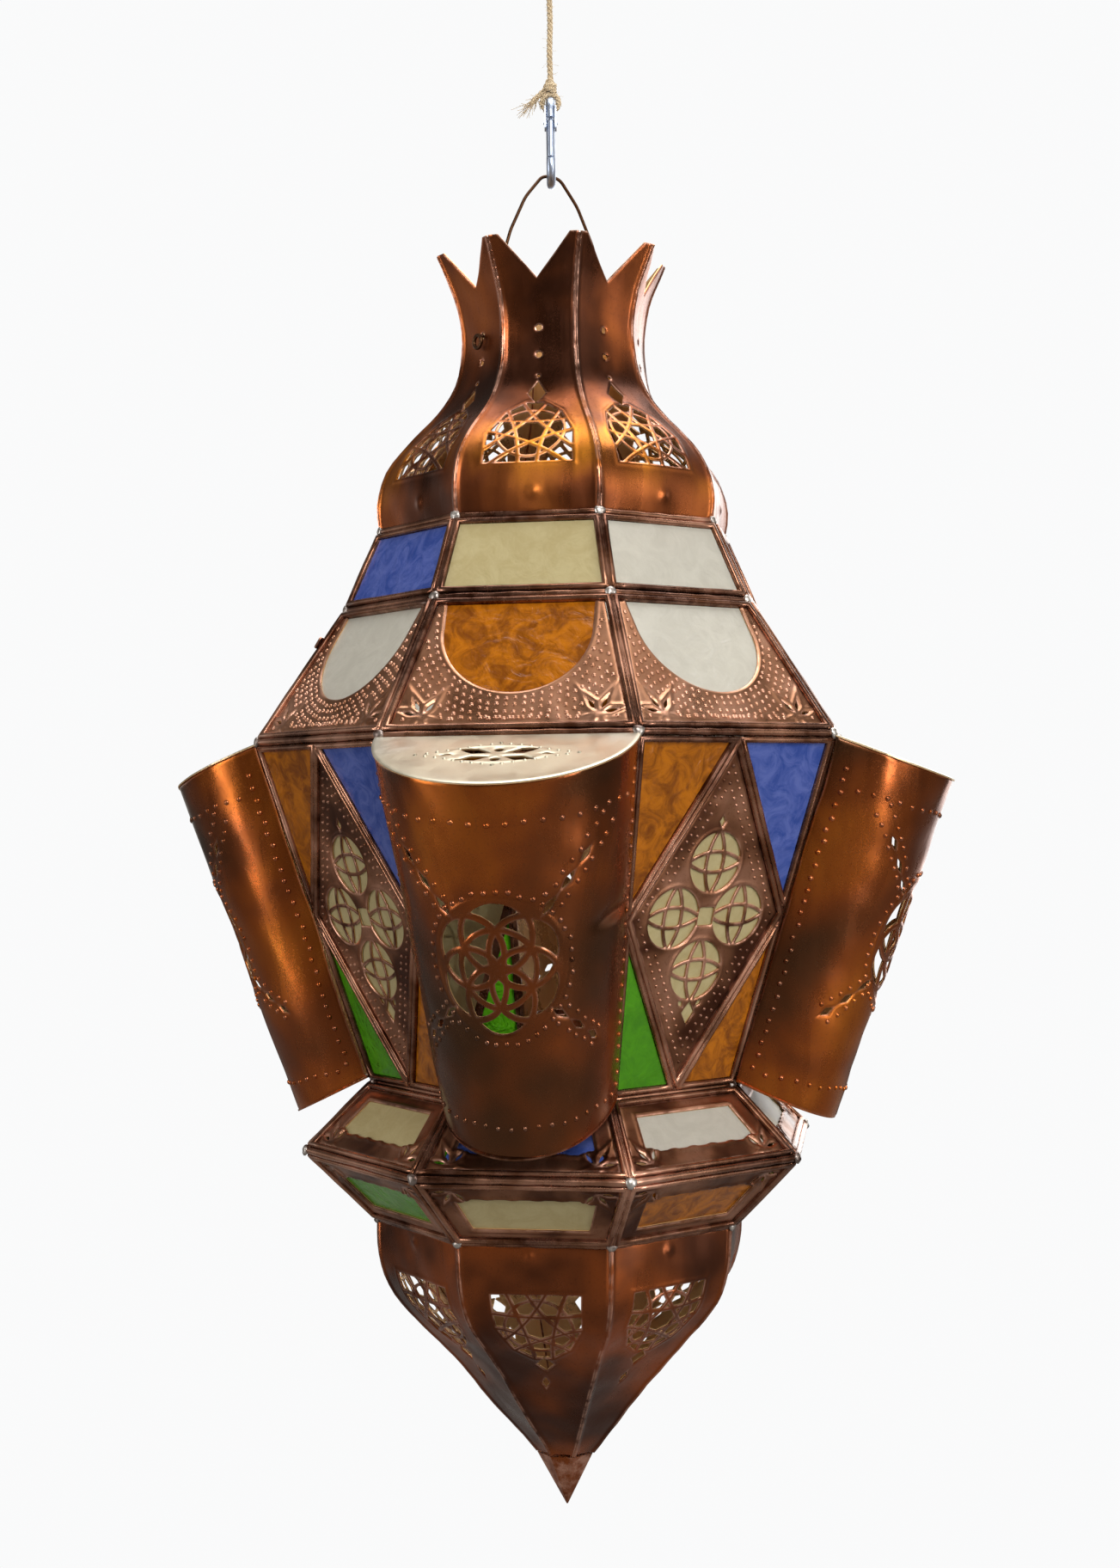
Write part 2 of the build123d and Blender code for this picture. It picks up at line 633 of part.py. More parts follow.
# --- Twine, its hanging loop and the knot on the snap hook ---
bend_radii = []
route = [Vector(*point) for point in TWINE_ROUTE]
for before, here, after in zip(route, route[1:], route[2:]):
    turn = radians((here - before).get_angle(after - here))
    shorter = min((here - before).length, (after - here).length)
    bend_radii.append(TWINE_BEND_SHARE * shorter / tan(turn / 2))
with BuildPart() as twine:
    with BuildLine() as twine_line:
        FilletPolyline(*route, radius=bend_radii)
    with BuildSketch(Plane(origin=twine_line.line @ 0, z_dir=twine_line.line % 0)):
        Circle(TWINE_D / 2)
    sweep(path=twine_line.line)
save(twine, "twine")
twine_length = sum(edge.length for edge in twine_line.edges())
print(f"twine length {twine_length:.2f} mm")

with BuildPart() as hanging_loop:
    with Locations(Plane(origin=(0, 0, TWINE_D / 2 - HANG_LOOP_R), z_dir=-hook_plane.x_dir)):
        Torus(HANG_LOOP_R, TWINE_D / 2)
    with Locations((0, 0, TWINE_D / 2 - 2 * HANG_LOOP_R - KNOT_R * KNOT_SINK)):
        Sphere(KNOT_R)
save(hanging_loop, "hanging_loop")

with BuildPart() as hook_knot:
    with Locations(Plane(origin=(0, 0, HOOK_TOP_Z), z_dir=hook_plane.x_dir)):
        Torus(HOOK_LOOP_R, TWINE_D / 2)
    knot_centre = Vector(0, 0, HOOK_TOP_Z + HOOK_LOOP_R + TWINE_D / 2 + KNOT_R * KNOT_SINK)
    with Locations(knot_centre):
        Sphere(KNOT_R)
    tail_way = hook_plane.z_dir * TAIL_RUN - Vector(0, 0, TAIL_RUN)
    with Locations(Plane(origin=knot_centre + tail_way / 2, z_dir=tail_way)):
        Cone(TAIL_START_R, TAIL_END_R, tail_way.length)
save(hook_knot, "hook_knot")
print("hinge origin", hinge_origin, "axis", door_plane.x_dir)
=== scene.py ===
import functools
import math

import bpy
import numpy as np
from bpy.props import FloatProperty, FloatVectorProperty, PointerProperty
from mathutils import Matrix, Vector


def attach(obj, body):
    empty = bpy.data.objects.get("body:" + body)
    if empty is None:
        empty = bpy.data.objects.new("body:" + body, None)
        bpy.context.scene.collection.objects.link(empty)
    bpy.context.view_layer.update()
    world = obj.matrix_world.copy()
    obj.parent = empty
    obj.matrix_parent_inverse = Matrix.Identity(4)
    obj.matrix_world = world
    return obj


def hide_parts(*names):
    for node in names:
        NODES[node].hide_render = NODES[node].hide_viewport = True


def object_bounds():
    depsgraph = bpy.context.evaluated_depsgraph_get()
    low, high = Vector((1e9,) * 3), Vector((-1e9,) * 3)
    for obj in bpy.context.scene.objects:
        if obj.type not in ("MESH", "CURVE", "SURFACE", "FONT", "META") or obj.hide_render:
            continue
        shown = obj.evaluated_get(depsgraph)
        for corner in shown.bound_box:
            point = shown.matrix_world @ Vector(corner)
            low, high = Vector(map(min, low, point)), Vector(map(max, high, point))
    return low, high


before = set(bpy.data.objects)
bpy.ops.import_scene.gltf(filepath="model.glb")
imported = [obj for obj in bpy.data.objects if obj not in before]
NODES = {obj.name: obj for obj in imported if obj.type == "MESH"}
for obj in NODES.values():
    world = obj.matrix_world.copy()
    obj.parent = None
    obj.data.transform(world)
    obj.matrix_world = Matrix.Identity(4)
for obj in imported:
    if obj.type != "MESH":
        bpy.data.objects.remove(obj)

bl_info = {
    "name": "Candle Lantern",
    "version": (1, 0, 0),
    "blender": (4, 5, 0),
    "location": "View3D > Sidebar > Lantern",
    "description": "Builds the looks of a pierced copper candle lantern round its packed frame",
    "category": "Object",
}

CAD_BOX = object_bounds()

# Shapes are worked out in millimetres and written to meshes in metres.
MM = 0.001
SIDES = 8
HALF_FACET = math.pi / SIDES

# Corner radius and height of each ring where the shell folds, from the top down.
COLLAR_TOP = (85.4, -282.3)
COLLAR_FOOT = (102.5, -320.2)
WIDEST = (145.0, -382.4)
WAIST = (91.8, -543.8)
SKIRT_RIM = (124.3, -574.7)
RIM_FOOT = (90.6, -608.6)
COLLAR = (COLLAR_TOP, COLLAR_FOOT)
SHOULDER = (COLLAR_FOOT, WIDEST)
BODY = (WIDEST, WAIST)
SKIRT = (WAIST, SKIRT_RIM)
UNDER_RIM = (SKIRT_RIM, RIM_FOOT)
BANDS = (COLLAR, SHOULDER, BODY, SKIRT, UNDER_RIM)
DOOR_FACET = 6

# Edging: the width of a rolled bead's seat, and the gaps left at seams and folds.
CAME_WIDTH = 2.6
SEAM_GAP = 0.25
END_GAP = 1.8
FIT_GAP = 0.25

# Ogee profiles as corner radius and height.
UPPER_PROFILE = [
    (85.4, -281.6), (86.7, -270.5), (81.5, -252.5), (63.5, -233.0),
    (49.8, -215.8), (44.8, -194.5), (46.7, -172.3), (56.5, -148.6),
]
LOWER_PROFILE = [
    (90.2, -609.4), (89.8, -620.0), (84.1, -643.5), (66.1, -664.7), (35.7, -699.6), (14.6, -725.0),
]
CROWN_VALLEY_Z = -167.5
CROWN_TIP_HALF = 4.6
NECK_HOLE_Z = (-190.1, -202.9)
UPPER_ROSE_Z = -243.0
LOWER_ROSE_Z = -649.0

# Half-round bays.
BAY_TOP = (56.5, 59.0)
BAY_FOOT = (38.5, 50.5)
BAY_START = 1.7
BAY_TOP_TILT = math.radians(4.0)
BAY_FOOT_TILT = math.radians(9.0)
BAY_FOOT_LIFT = 3.0

# Hanging tackle. The route's points are in metres, from the loop's knot down to the hook's.
TWINE_ROUTE = [(0.0, 0.0, -0.0165), (0.0005, 0.0002, -0.032),
               (-0.0003, -0.0001, -0.047), (0.0002, 0.0001, -0.061)]
TWINE_D = 2.9
TWINE_LAY = 7.5
TWINE_PLIES = 3
KNOT_TURNS = ((0.35, 0.0, 0.56), (-0.5, 2.1, 0.58), (0.1, 4.0, 0.60), (0.9, 1.0, 0.42))
HOOK_TURN = math.radians(-80.9)
HOOK_TOP_Z = -71.0

# Pierced rosettes of the domes, and the shield-shaped area that each one fills.
STAR_POINTS = 7
STAR_MIDDLE = 7.0
STAR_BAND = 2.1
STAR_BEND = 0.0045
STAR_RING = 15.8
SHIELD = np.array([(-20.5, -18.5), (20.5, -18.5), (19.5, -1.0), (12.5, 14.0),
                   (4.0, 21.0), (-4.0, 21.0), (-12.5, 14.0), (-19.5, -1.0)])

# Leaves of the embossed sprigs: their angles, length, width and distance from the root.
LEAF_ANGLES = (0.25, 1.15, 2.2)
LEAF_LENGTH = 7.6
LEAF_WIDTH = 1.9
LEAF_REACH = 5.5

# Finest cell of the domes' mesh, and how far their sheet lies inside the profile.
DOME_CELL = 0.62
DOME_SEAT = 0.35

# Radius of a shoulder window; middles and radius of a lozenge's lobes; a bay's roundel, and the
# distance from its middle and the length of each slot in the cross about it.
SHOULDER_WINDOW = 33.0
LOBES = [(0, 25.2), (0, -25.2), (-18.4, 0), (18.4, 0)]
LOBE_RADIUS = 14.0
BAY_ROSE_V = -1.0
BAY_ROSE_RADIUS = 30.5
BAY_SLOTS = ((35.5, 11.0), (48.0, 10.0), (60.5, 9.0))

# Cells of fine mesh merged into one coarse cell, and the mark added to a sheet's inner side.
BLOCK = 4
LINING = 100.0

# Distance from a cut edge that whole tubes, dots and lumps carry, which sets their rubbed look and
# painted highlight.
TUBE_EDGE = 0.45
LUMP_EDGE = 0.6
DOT_SIDES = 9

# A step longer than any line's own, so that a tube keeps the line's points.
WHOLE = 99.0

# Camera: lens, then azimuth, pitch and roll in degrees, then its place. Floor: drop and reach.
CAMERA_LENS = 46.67
CAMERA_ANGLES = (9.109, 0.371, 0.70)
CAMERA_DISTANCE = 0.9892
CAMERA_HEIGHT = -0.4097
CAMERA_SHIFT = 0.0007
FLOOR_DROP = 0.35
FLOOR_REACH = 6.0

# Studio lights: name, place from the lantern's middle, width, height and power.
LIGHTS = (
    ("key", (0.7, -1.7, 0.9), 0.8, 0.8, 22.0),
    ("top", (0.2, 0.3, 1.8), 1.7, 1.7, 40.0),
    ("left", (-1.8, -1.1, 0.0), 0.25, 1.6, 15.0),
    ("right", (1.8, -0.9, -0.1), 0.22, 1.6, 15.0),
    ("back", (0.2, 1.7, 0.4), 1.8, 1.8, 22.0),
)
BLACK = (0.0, 0.0, 0.0, 1.0)


# ------------------------------------------------ settings
def metres(name, description, default):
    """A setting in metres."""
    return FloatProperty(name=name, description=description, default=default, unit="LENGTH")


def swatch(name, description, default):
    """A colour setting."""
    return FloatVectorProperty(name=name, description=description, default=default, subtype="COLOR")


class LanternSizes(bpy.types.PropertyGroup):
    """Sizes that set how the metalwork looks."""

    sheet: metres("Sheet", "Thickness of the copper sheet", 0.0007)
    cell: metres("Mesh Cell", "Finest cell of a cut sheet's mesh", 0.00075)
    edge_roll: metres("Edge Roll", "How far a cut edge bends inward", 0.00035)
    dot_radius: metres("Dot Radius", "Radius of a punched dot", 0.00115)
    dot_height: metres("Dot Height", "How far a punched dot stands out", 0.0007)
    bead: metres("Bead Radius", "Radius of the rolled edging", 0.00135)
    dent: metres("Dents", "Depth of the sheet's shallow dents", 0.0008)


class LanternColours(bpy.types.PropertyGroup):
    """Colours of the lantern's metals, glasses and twine."""

    copper_dark: swatch("Dark Copper", "Brown-black patina", (0.070, 0.022, 0.010))
    copper_mid: swatch("Copper", "Aged copper", (0.30, 0.078, 0.022))
    copper_bright: swatch("Bright Copper", "Heat-tinted orange copper", (0.86, 0.31, 0.022))
    brown: swatch("Brown Copper", "Dull brown copper of the edging and embossed sheets",
                  (0.30, 0.13, 0.066))
    lining: swatch("Lining", "Bare inner side of the sheets", (0.72, 0.44, 0.20))
    punched: swatch("Punched Copper", "Paler copper of the punched sheets", (0.46, 0.225, 0.125))
    # Used both for copper rubbed bare and as painted highlight on edges, beads and dots.
    copper_pink: swatch("Rubbed and Highlit Copper", "Copper rubbed bare and painted highlight along edges", (0.80, 0.45, 0.33))
    bay_red: swatch("Red Copper", "Red-brown lacquered copper of the bays", (0.37, 0.083, 0.016))
    olive: swatch("Olive Patina", "Green-black patina on the bays", (0.085, 0.038, 0.017))
    tin: swatch("Tin", "Tinned caps", (0.60, 0.54, 0.41))
    solder: swatch("Solder", "Solder at the corners", (0.56, 0.53, 0.49))
    steel: swatch("Zinc Steel", "Snap hook", (0.42, 0.48, 0.60))
    twine: swatch("Jute", "Twine fibre", (0.72, 0.58, 0.38))
    amber: swatch("Amber Glass", "Amber panes", (0.50, 0.155, 0.005))
    blue: swatch("Blue Glass", "Blue panes", (0.035, 0.075, 0.33))
    green: swatch("Green Glass", "Green panes", (0.10, 0.40, 0.008))
    cream: swatch("Cream Glass", "Frosted cream panes", (0.52, 0.44, 0.23))
    frost: swatch("Frosted Glass", "Frosted clear panes", (0.74, 0.71, 0.62))
    floor: swatch("Floor", "Pale studio floor", (0.955, 0.957, 0.96))


def sizes():
    """The size settings of this scene."""
    return bpy.context.scene.lantern_sizes


def colour(name):
    """A colour setting with full alpha."""
    return (*getattr(bpy.context.scene.lantern_colours, name), 1.0)


# ------------------------------------------------ facets and surfaces
def facing(index):
    """Level way out of a facet; a half number gives the corner between two facets."""
    turn = math.radians(-90 + index * 360 / SIDES)
    return np.array([math.cos(turn), math.sin(turn), 0.0])


def leftward(way):
    """The level way at right angles to another, anticlockwise seen from above."""
    return np.array([-way[1], way[0], 0.0])


def unit(vectors):
    """Vectors brought to a length of one."""
    vectors = np.asarray(vectors, float)
    return vectors / np.linalg.norm(vectors, axis=-1, keepdims=True)


def square_to(way, guide):
    """Two unit ways at right angles to a way, the second leaning toward the guide."""
    side = unit(np.cross(way, guide))
    return side, np.cross(side, way)


def edges_of(corners):
    """Each corner with the next, round a closed outline."""
    return zip(corners, np.roll(corners, -1, 0))


class Plane:
    """Flat ground for sheet metal: u runs across, v up and h outward."""

    def place(self, u, v, h):
        """Points at u across, v up and h outward, in millimetres."""
        return (self.origin + u[..., None] * self.across + v[..., None] * self.up
                + h[..., None] * self.out)


class Facet(Plane):
    """One flat side of a band: its middle, its directions and its trapezium."""

    def __init__(self, band, index):
        top, foot = band
        run = (top[0] - foot[0]) * math.cos(HALF_FACET)
        rise = top[1] - foot[1]
        self.length = math.hypot(run, rise)
        self.run = run / self.length
        self.rise = rise / self.length
        radial = facing(index)
        self.middle = (top[0] + foot[0]) / 2 * math.cos(HALF_FACET)
        self.origin = radial * self.middle + np.array([0, 0, (top[1] + foot[1]) / 2])
        self.across = leftward(radial)
        self.up = radial * self.run + np.array([0, 0, self.rise])
        self.out = radial * self.rise - np.array([0, 0, self.run])

    def corners(self):
        """The trapezium's corners, anticlockwise from its lower left."""
        reach = self.length / 2 - END_GAP
        low = (self.middle - reach * self.run) * math.tan(HALF_FACET) - SEAM_GAP
        high = (self.middle + reach * self.run) * math.tan(HALF_FACET) - SEAM_GAP
        return np.array([(-low, -reach), (low, -reach), (high, reach), (-high, reach)])


def inset(corners, margin):
    """A convex outline, given anticlockwise, with every edge moved in by the margin."""
    shrunk = []
    for before, here, after in zip(np.roll(corners, 1, 0), corners, np.roll(corners, -1, 0)):
        arriving, leaving = unit(here - before), unit(after - here)
        half_turn = math.acos(max(-1.0, min(1.0, float(arriving @ leaving)))) / 2
        shrunk.append(here + unit(leaving - arriving) * margin / math.cos(half_turn))
    return np.array(shrunk)


def smooth_profile(points, samples=160):
    """Arc length, facet radius and height along a natural cubic through the profile's points."""
    points = np.array([(r * math.cos(HALF_FACET), z) for r, z in points])
    knots = np.concatenate([[0], np.cumsum(np.linalg.norm(np.diff(points, axis=0), axis=1))])
    gaps = np.diff(knots)
    count = len(points)
    system = np.eye(count)
    target = np.zeros((count, 2))
    for i in range(1, count - 1):
        system[i, i - 1:i + 2] = gaps[i - 1], 2 * (gaps[i - 1] + gaps[i]), gaps[i]
        slope = (points[i + 1] - points[i]) / gaps[i] - (points[i] - points[i - 1]) / gaps[i - 1]
        target[i] = 6 * slope
    bend = np.linalg.solve(system, target)
    at = np.linspace(0, knots[-1], samples)
    span = np.clip(np.searchsorted(knots, at, side="right") - 1, 0, count - 2)
    gap = gaps[span][:, None]
    left = (knots[span + 1] - at)[:, None]
    right = (at - knots[span])[:, None]
    line = ((bend[span] * left**3 + bend[span + 1] * right**3) / (6 * gap)
            + (points[span] / gap - bend[span] * gap / 6) * left
            + (points[span + 1] / gap - bend[span + 1] * gap / 6) * right)
    along = np.concatenate([[0], np.cumsum(np.linalg.norm(np.diff(line, axis=0), axis=1))])
    return along, line


class DomeSide:
    """One side of a dome: flat across, bent along v, which starts at its profile's first point."""

    def __init__(self, profile, index):
        self.along, line = smooth_profile(profile)
        self.reach, self.height = line[:, 0], line[:, 1]
        slope = np.gradient(line, self.along, axis=0)
        rising = 1 if self.height[-1] > self.height[0] else -1
        self.out_r = rising * slope[:, 1]
        self.out_z = -rising * slope[:, 0]
        self.radial = facing(index)
        self.across = leftward(self.radial) * rising
        self.length = self.along[-1]

    def place(self, u, v, h):
        """Points at u across, v along the profile and h outward, in millimetres."""
        radius = np.interp(v, self.along, self.reach) + h * np.interp(v, self.along, self.out_r)
        height = np.interp(v, self.along, self.height) + h * np.interp(v, self.along, self.out_z)
        return (radius[..., None] * self.radial + u[..., None] * self.across
                + height[..., None] * np.array([0, 0, 1.0]))

    def half(self, v):
        """Half the side's width at v."""
        return np.interp(v, self.along, self.reach) * math.tan(HALF_FACET) - SEAM_GAP

    def at_height(self, z):
        """The v where the profile reaches a height."""
        order = np.argsort(self.height)
        return float(np.interp(z, self.height[order], self.along[order]))


class Bay:
    """A half-round bay: u runs round its arch and v up its facet."""

    def __init__(self, index):
        self.facet = Facet(BODY, index)
        self.width = math.pi / 2 * (sum(BAY_TOP) + sum(BAY_FOOT)) / 4

    def size(self, v):
        """Half width and depth of the arch at v."""
        share = v / self.facet.length + 0.5
        return (BAY_FOOT[0] + (BAY_TOP[0] - BAY_FOOT[0]) * share,
                BAY_FOOT[1] + (BAY_TOP[1] - BAY_FOOT[1]) * share - BAY_START)

    def place(self, u, v, h):
        """Points at u round the arch, v up the slope and h outward, in millimetres."""
        half, depth = self.size(v)
        angle = u / self.width * math.pi / 2
        out_x, out_d = np.sin(angle) / half, np.cos(angle) / depth
        scale = np.hypot(out_x, out_d)
        x = half * np.sin(angle) + h * out_x / scale
        d = BAY_START + depth * np.cos(angle) + h * out_d / scale
        return self.facet.place(x, v, d)

    def ends(self, u):
        """Lowest and highest v of the shell at u, where its tilted end plates meet it."""
        depth = self.size(0.0)[1]
        out = BAY_START + depth * np.cos(u / self.width * math.pi / 2)
        top = self.facet.length / 2 - 1.0 - out * math.tan(BAY_TOP_TILT)
        foot = BAY_FOOT_LIFT - self.facet.length / 2 + 1.0 - out * math.tan(BAY_FOOT_TILT)
        return foot, top


# ------------------------------------------------ outlines: positive inside the metal
def inside_polygon(x, y, corners):
    """Distance inside a convex outline given anticlockwise."""
    nearest = np.full(x.shape, 1e9)
    for here, after in edges_of(corners):
        way = unit(after - here)
        nearest = np.minimum(nearest, way[0] * (y - here[1]) - way[1] * (x - here[0]))
    return nearest


def inside_circle(x, y, cx, cy, radius):
    """Distance inside a circle."""
    return radius - np.hypot(x - cx, y - cy)


def ring_band(x, y, cx, cy, radius, width):
    """Distance inside a band that follows a circle."""
    return width / 2 - np.abs(np.hypot(x - cx, y - cy) - radius)


def diamond(x, y, cx, cy, half_width, half_height):
    """Distance inside an upright rhomb."""
    norm = math.hypot(1 / half_width, 1 / half_height)
    return (1 - np.abs(x - cx) / half_width - np.abs(y - cy) / half_height) / norm


def slot_hole(x, y, cx, cy, length, width, angle):
    """Distance inside a pointed slot."""
    along = (x - cx) * math.cos(angle) + (y - cy) * math.sin(angle)
    side = -(x - cx) * math.sin(angle) + (y - cy) * math.cos(angle)
    return diamond(along, side, 0, 0, length / 2, width / 2)


def pierce(metal, *holes):
    """Metal with holes cut through it."""
    for hole in holes:
        metal = np.minimum(metal, -hole)
    return metal


def rosette(x, y, cx, cy, count, small, spread, width):
    """Interlaced circles pierced between their bands; returns the depth inside any hole."""
    filled = np.full(x.shape, -1e9)
    bands = np.full(x.shape, -1e9)
    for k in range(count):
        angle = 2 * math.pi * (k + 0.5) / count
        ox, oy = cx + spread * math.cos(angle), cy + spread * math.sin(angle)
        filled = np.maximum(filled, inside_circle(x, y, ox, oy, small))
        bands = np.maximum(bands, ring_band(x, y, ox, oy, small, width))
    filled = np.maximum(filled, inside_circle(x, y, cx, cy, abs(small - spread)))
    return np.minimum(filled, -bands)


def shield_star(x, y, turn):
    """Depth inside any hole of a rosette, whose bands cross to a star in a shield."""
    bands = ring_band(x, y, 0, 0, STAR_RING, 1.5)
    for k in range(STAR_POINTS):
        angle = turn + 2 * math.pi * k / STAR_POINTS
        away = x * math.cos(angle) + y * math.sin(angle)
        side = y * math.cos(angle) - x * math.sin(angle)
        middle = STAR_MIDDLE + STAR_BEND * side ** 2
        bands = np.maximum(bands, STAR_BAND / 2 - np.abs(away - middle))
    return np.minimum(inside_polygon(x, y, SHIELD), -bands)


def globe(x, y, cx, cy, radius, width):
    """A round hole crossed by two upright and two level arcs; returns the depth inside a hole."""
    bands = np.full(x.shape, -1e9)
    bend = 1.9 * radius
    away = 1.56 * radius
    for side in (-1, 1):
        bands = np.maximum(bands, ring_band(x, y, cx - side * away, cy, bend, width))
        bands = np.maximum(bands, ring_band(x, y, cx, cy - side * away, bend, width))
    return np.minimum(inside_circle(x, y, cx, cy, radius), -bands)


# ------------------------------------------------ meshes
def ring_faces(low, high, segments):
    """Quads between two rings of points, given by the number of each ring's first point."""
    return [[low + k, low + (k + 1) % segments, high + (k + 1) % segments, high + k]
            for k in range(segments)]


def dents(points, depth):
    """Shallow, smooth unevenness for hand-worked sheet, the same for each point every time."""
    x, y, z = (points * 0.021).T
    wave = (np.sin(3.1 * x + 1.7 * y + 0.4) * np.sin(2.3 * z + 0.9 * x)
            + 0.6 * np.sin(5.3 * y - 3.7 * z + 1.1) * np.sin(4.1 * x + 2.2)
            + 0.3 * np.sin(11.0 * x + 7.0 * z) * np.sin(9.0 * y - 5.0 * z))
    centre = points * np.array([1.0, 1.0, 0.0])
    length = np.maximum(np.linalg.norm(centre, axis=1, keepdims=True), 1.0)
    return points + centre / length * (wave * depth)[:, None]


def cut_sheet(surface, metal, box, relief, cell=None, base=0.0):
    """Sheet metal kept where metal(u, v) is positive, fine at its edges and coarse elsewhere.

    Returns its points, faces and each point's distance from the nearest cut edge.
    """
    settings = sizes()
    cell = cell or settings.cell / MM
    roll = settings.edge_roll / MM
    count_u = BLOCK * math.ceil((box[1] - box[0]) / cell / BLOCK)
    count_v = BLOCK * math.ceil((box[3] - box[2]) / cell / BLOCK)
    u, v = np.meshgrid(np.linspace(box[0], box[1], count_u + 1),
                       np.linspace(box[2], box[3], count_v + 1), indexing="ij")
    depth = metal(u, v)
    raised = relief(u, v)
    inside = depth > 0
    ids = np.full(u.shape, -1)
    ids[inside] = np.arange(inside.sum())
    flat_u, flat_v, flat_h = [u[inside]], [v[inside]], [raised[inside]]
    flat_edge = [depth[inside]]
    total = int(inside.sum())
    crossings = []
    for axis in (0, 1):
        first = (slice(0, -1), slice(None)) if axis == 0 else (slice(None), slice(0, -1))
        second = (slice(1, None), slice(None)) if axis == 0 else (slice(None), slice(1, None))
        crossed = inside[first] != inside[second]
        share = depth[first] / np.where(crossed, depth[first] - depth[second], 1.0)
        share = np.clip(share, 0.06, 0.94)
        made = np.full(crossed.shape, -1)
        made[crossed] = total + np.arange(crossed.sum())
        total += int(crossed.sum())
        for store, grid in ((flat_u, u), (flat_v, v), (flat_h, raised)):
            store.append((grid[first] + share * (grid[second] - grid[first]))[crossed])
        flat_edge.append(np.zeros(int(crossed.sum())))
        crossings.append(made)
    along_u, along_v = crossings
    ring = np.stack([ids[:-1, :-1], along_u[:, :-1], ids[1:, :-1], along_v[1:, :],
                     ids[1:, 1:], along_u[:, 1:], ids[:-1, 1:], along_v[:-1, :]], -1)
    calm = (depth > roll * 4 + cell) & (np.abs(raised - np.roll(raised, 1, 0)) < 0.01)
    blocks_u, blocks_v = count_u // BLOCK, count_v // BLOCK
    full = np.zeros((blocks_u, blocks_v), bool)
    for i in range(blocks_u):
        for j in range(blocks_v):
            part = np.s_[i * BLOCK:(i + 1) * BLOCK + 1, j * BLOCK:(j + 1) * BLOCK + 1]
            full[i, j] = calm[part].all() and np.ptp(raised[part]) < 0.02
    fine = ~np.repeat(np.repeat(full, BLOCK, 0), BLOCK, 1)
    rows = ring[fine]
    present = rows >= 0
    code = present @ (1 << np.arange(8))
    faces = []
    for value in np.unique(code):
        columns = [bit for bit in range(8) if value >> bit & 1]
        if len(columns) >= 3:
            faces += rows[code == value][:, columns].tolist()
    padded = np.pad(full, 1, constant_values=False)
    for i, j in zip(*np.nonzero(full)):
        low_u, low_v, high_u, high_v = i * BLOCK, j * BLOCK, (i + 1) * BLOCK, (j + 1) * BLOCK
        sides = (
            (ids[low_u:high_u, low_v], padded[i + 1, j]),
            (ids[high_u, low_v:high_v], padded[i + 2, j + 1]),
            (ids[high_u:low_u:-1, high_v], padded[i + 1, j + 2]),
            (ids[low_u, high_v:low_v:-1], padded[i, j + 1]),
        )
        face = []
        for side, neighbour_full in sides:
            face += side[:1].tolist() if neighbour_full else side.tolist()
        faces.append(face)
    used = np.unique(np.concatenate([np.array(face) for face in faces]))
    renumber = np.full(total, -1)
    renumber[used] = np.arange(len(used))
    faces = [renumber[np.array(face)].tolist() for face in faces]
    flat = [np.concatenate(store)[used] for store in (flat_u, flat_v, flat_h, flat_edge)]
    rolled = flat[2] - roll * (1 - np.clip(flat[3] / (roll * 4), 0, 1)) ** 2
    thick = settings.sheet / MM
    outer = surface.place(flat[0], flat[1], rolled + base + thick)
    inner = surface.place(flat[0], flat[1], rolled + base)
    count = len(used)
    starts = np.concatenate([np.array(face) for face in faces])
    ends = np.concatenate([np.roll(np.array(face), -1) for face in faces])
    forward = set((starts * count + ends).tolist())
    rim = [(a, b) for a, b in zip(starts.tolist(), ends.tolist()) if b * count + a not in forward]
    back = [[k + count for k in reversed(face)] for face in faces]
    sides = [[b, a, a + count, b + count] for a, b in rim]
    points = np.concatenate([outer, inner])
    return points, faces + back + sides, np.concatenate([flat[3], flat[3] + LINING])


def punch_dots(surface, spots, radius, height, base=0.0):
    """Small raised domes on a surface at each (u, v) spot."""
    spots = np.array(spots, float).reshape(-1, 2)
    angle = np.arange(DOT_SIDES) * 2 * math.pi / DOT_SIDES
    rings = [(1.0, -0.15), (0.82, 0.45), (0.45, 0.88)]
    u = [r * radius * np.cos(angle) for r, _ in rings] + [np.zeros(1)]
    v = [r * radius * np.sin(angle) for r, _ in rings] + [np.zeros(1)]
    h = [np.full(DOT_SIDES, share * height) for _, share in rings] + [np.full(1, height)]
    u, v, h = (np.concatenate(part) for part in (u, v, h))
    points = surface.place(spots[:, 0, None] + u, spots[:, 1, None] + v,
                           np.broadcast_to(h + base, (len(spots), len(h))))
    top = (len(rings) - 1) * DOT_SIDES
    one = [face for low in range(0, top, DOT_SIDES)
           for face in ring_faces(low, low + DOT_SIDES, DOT_SIDES)]
    one += [[top + k, top + (k + 1) % DOT_SIDES, len(h) - 1] for k in range(DOT_SIDES)]
    one.append(list(range(DOT_SIDES - 1, -1, -1)))
    faces = [[k + n * len(h) for k in face] for n in range(len(spots)) for face in one]
    return points.reshape(-1, 3), faces, np.full(len(spots) * len(h), TUBE_EDGE)


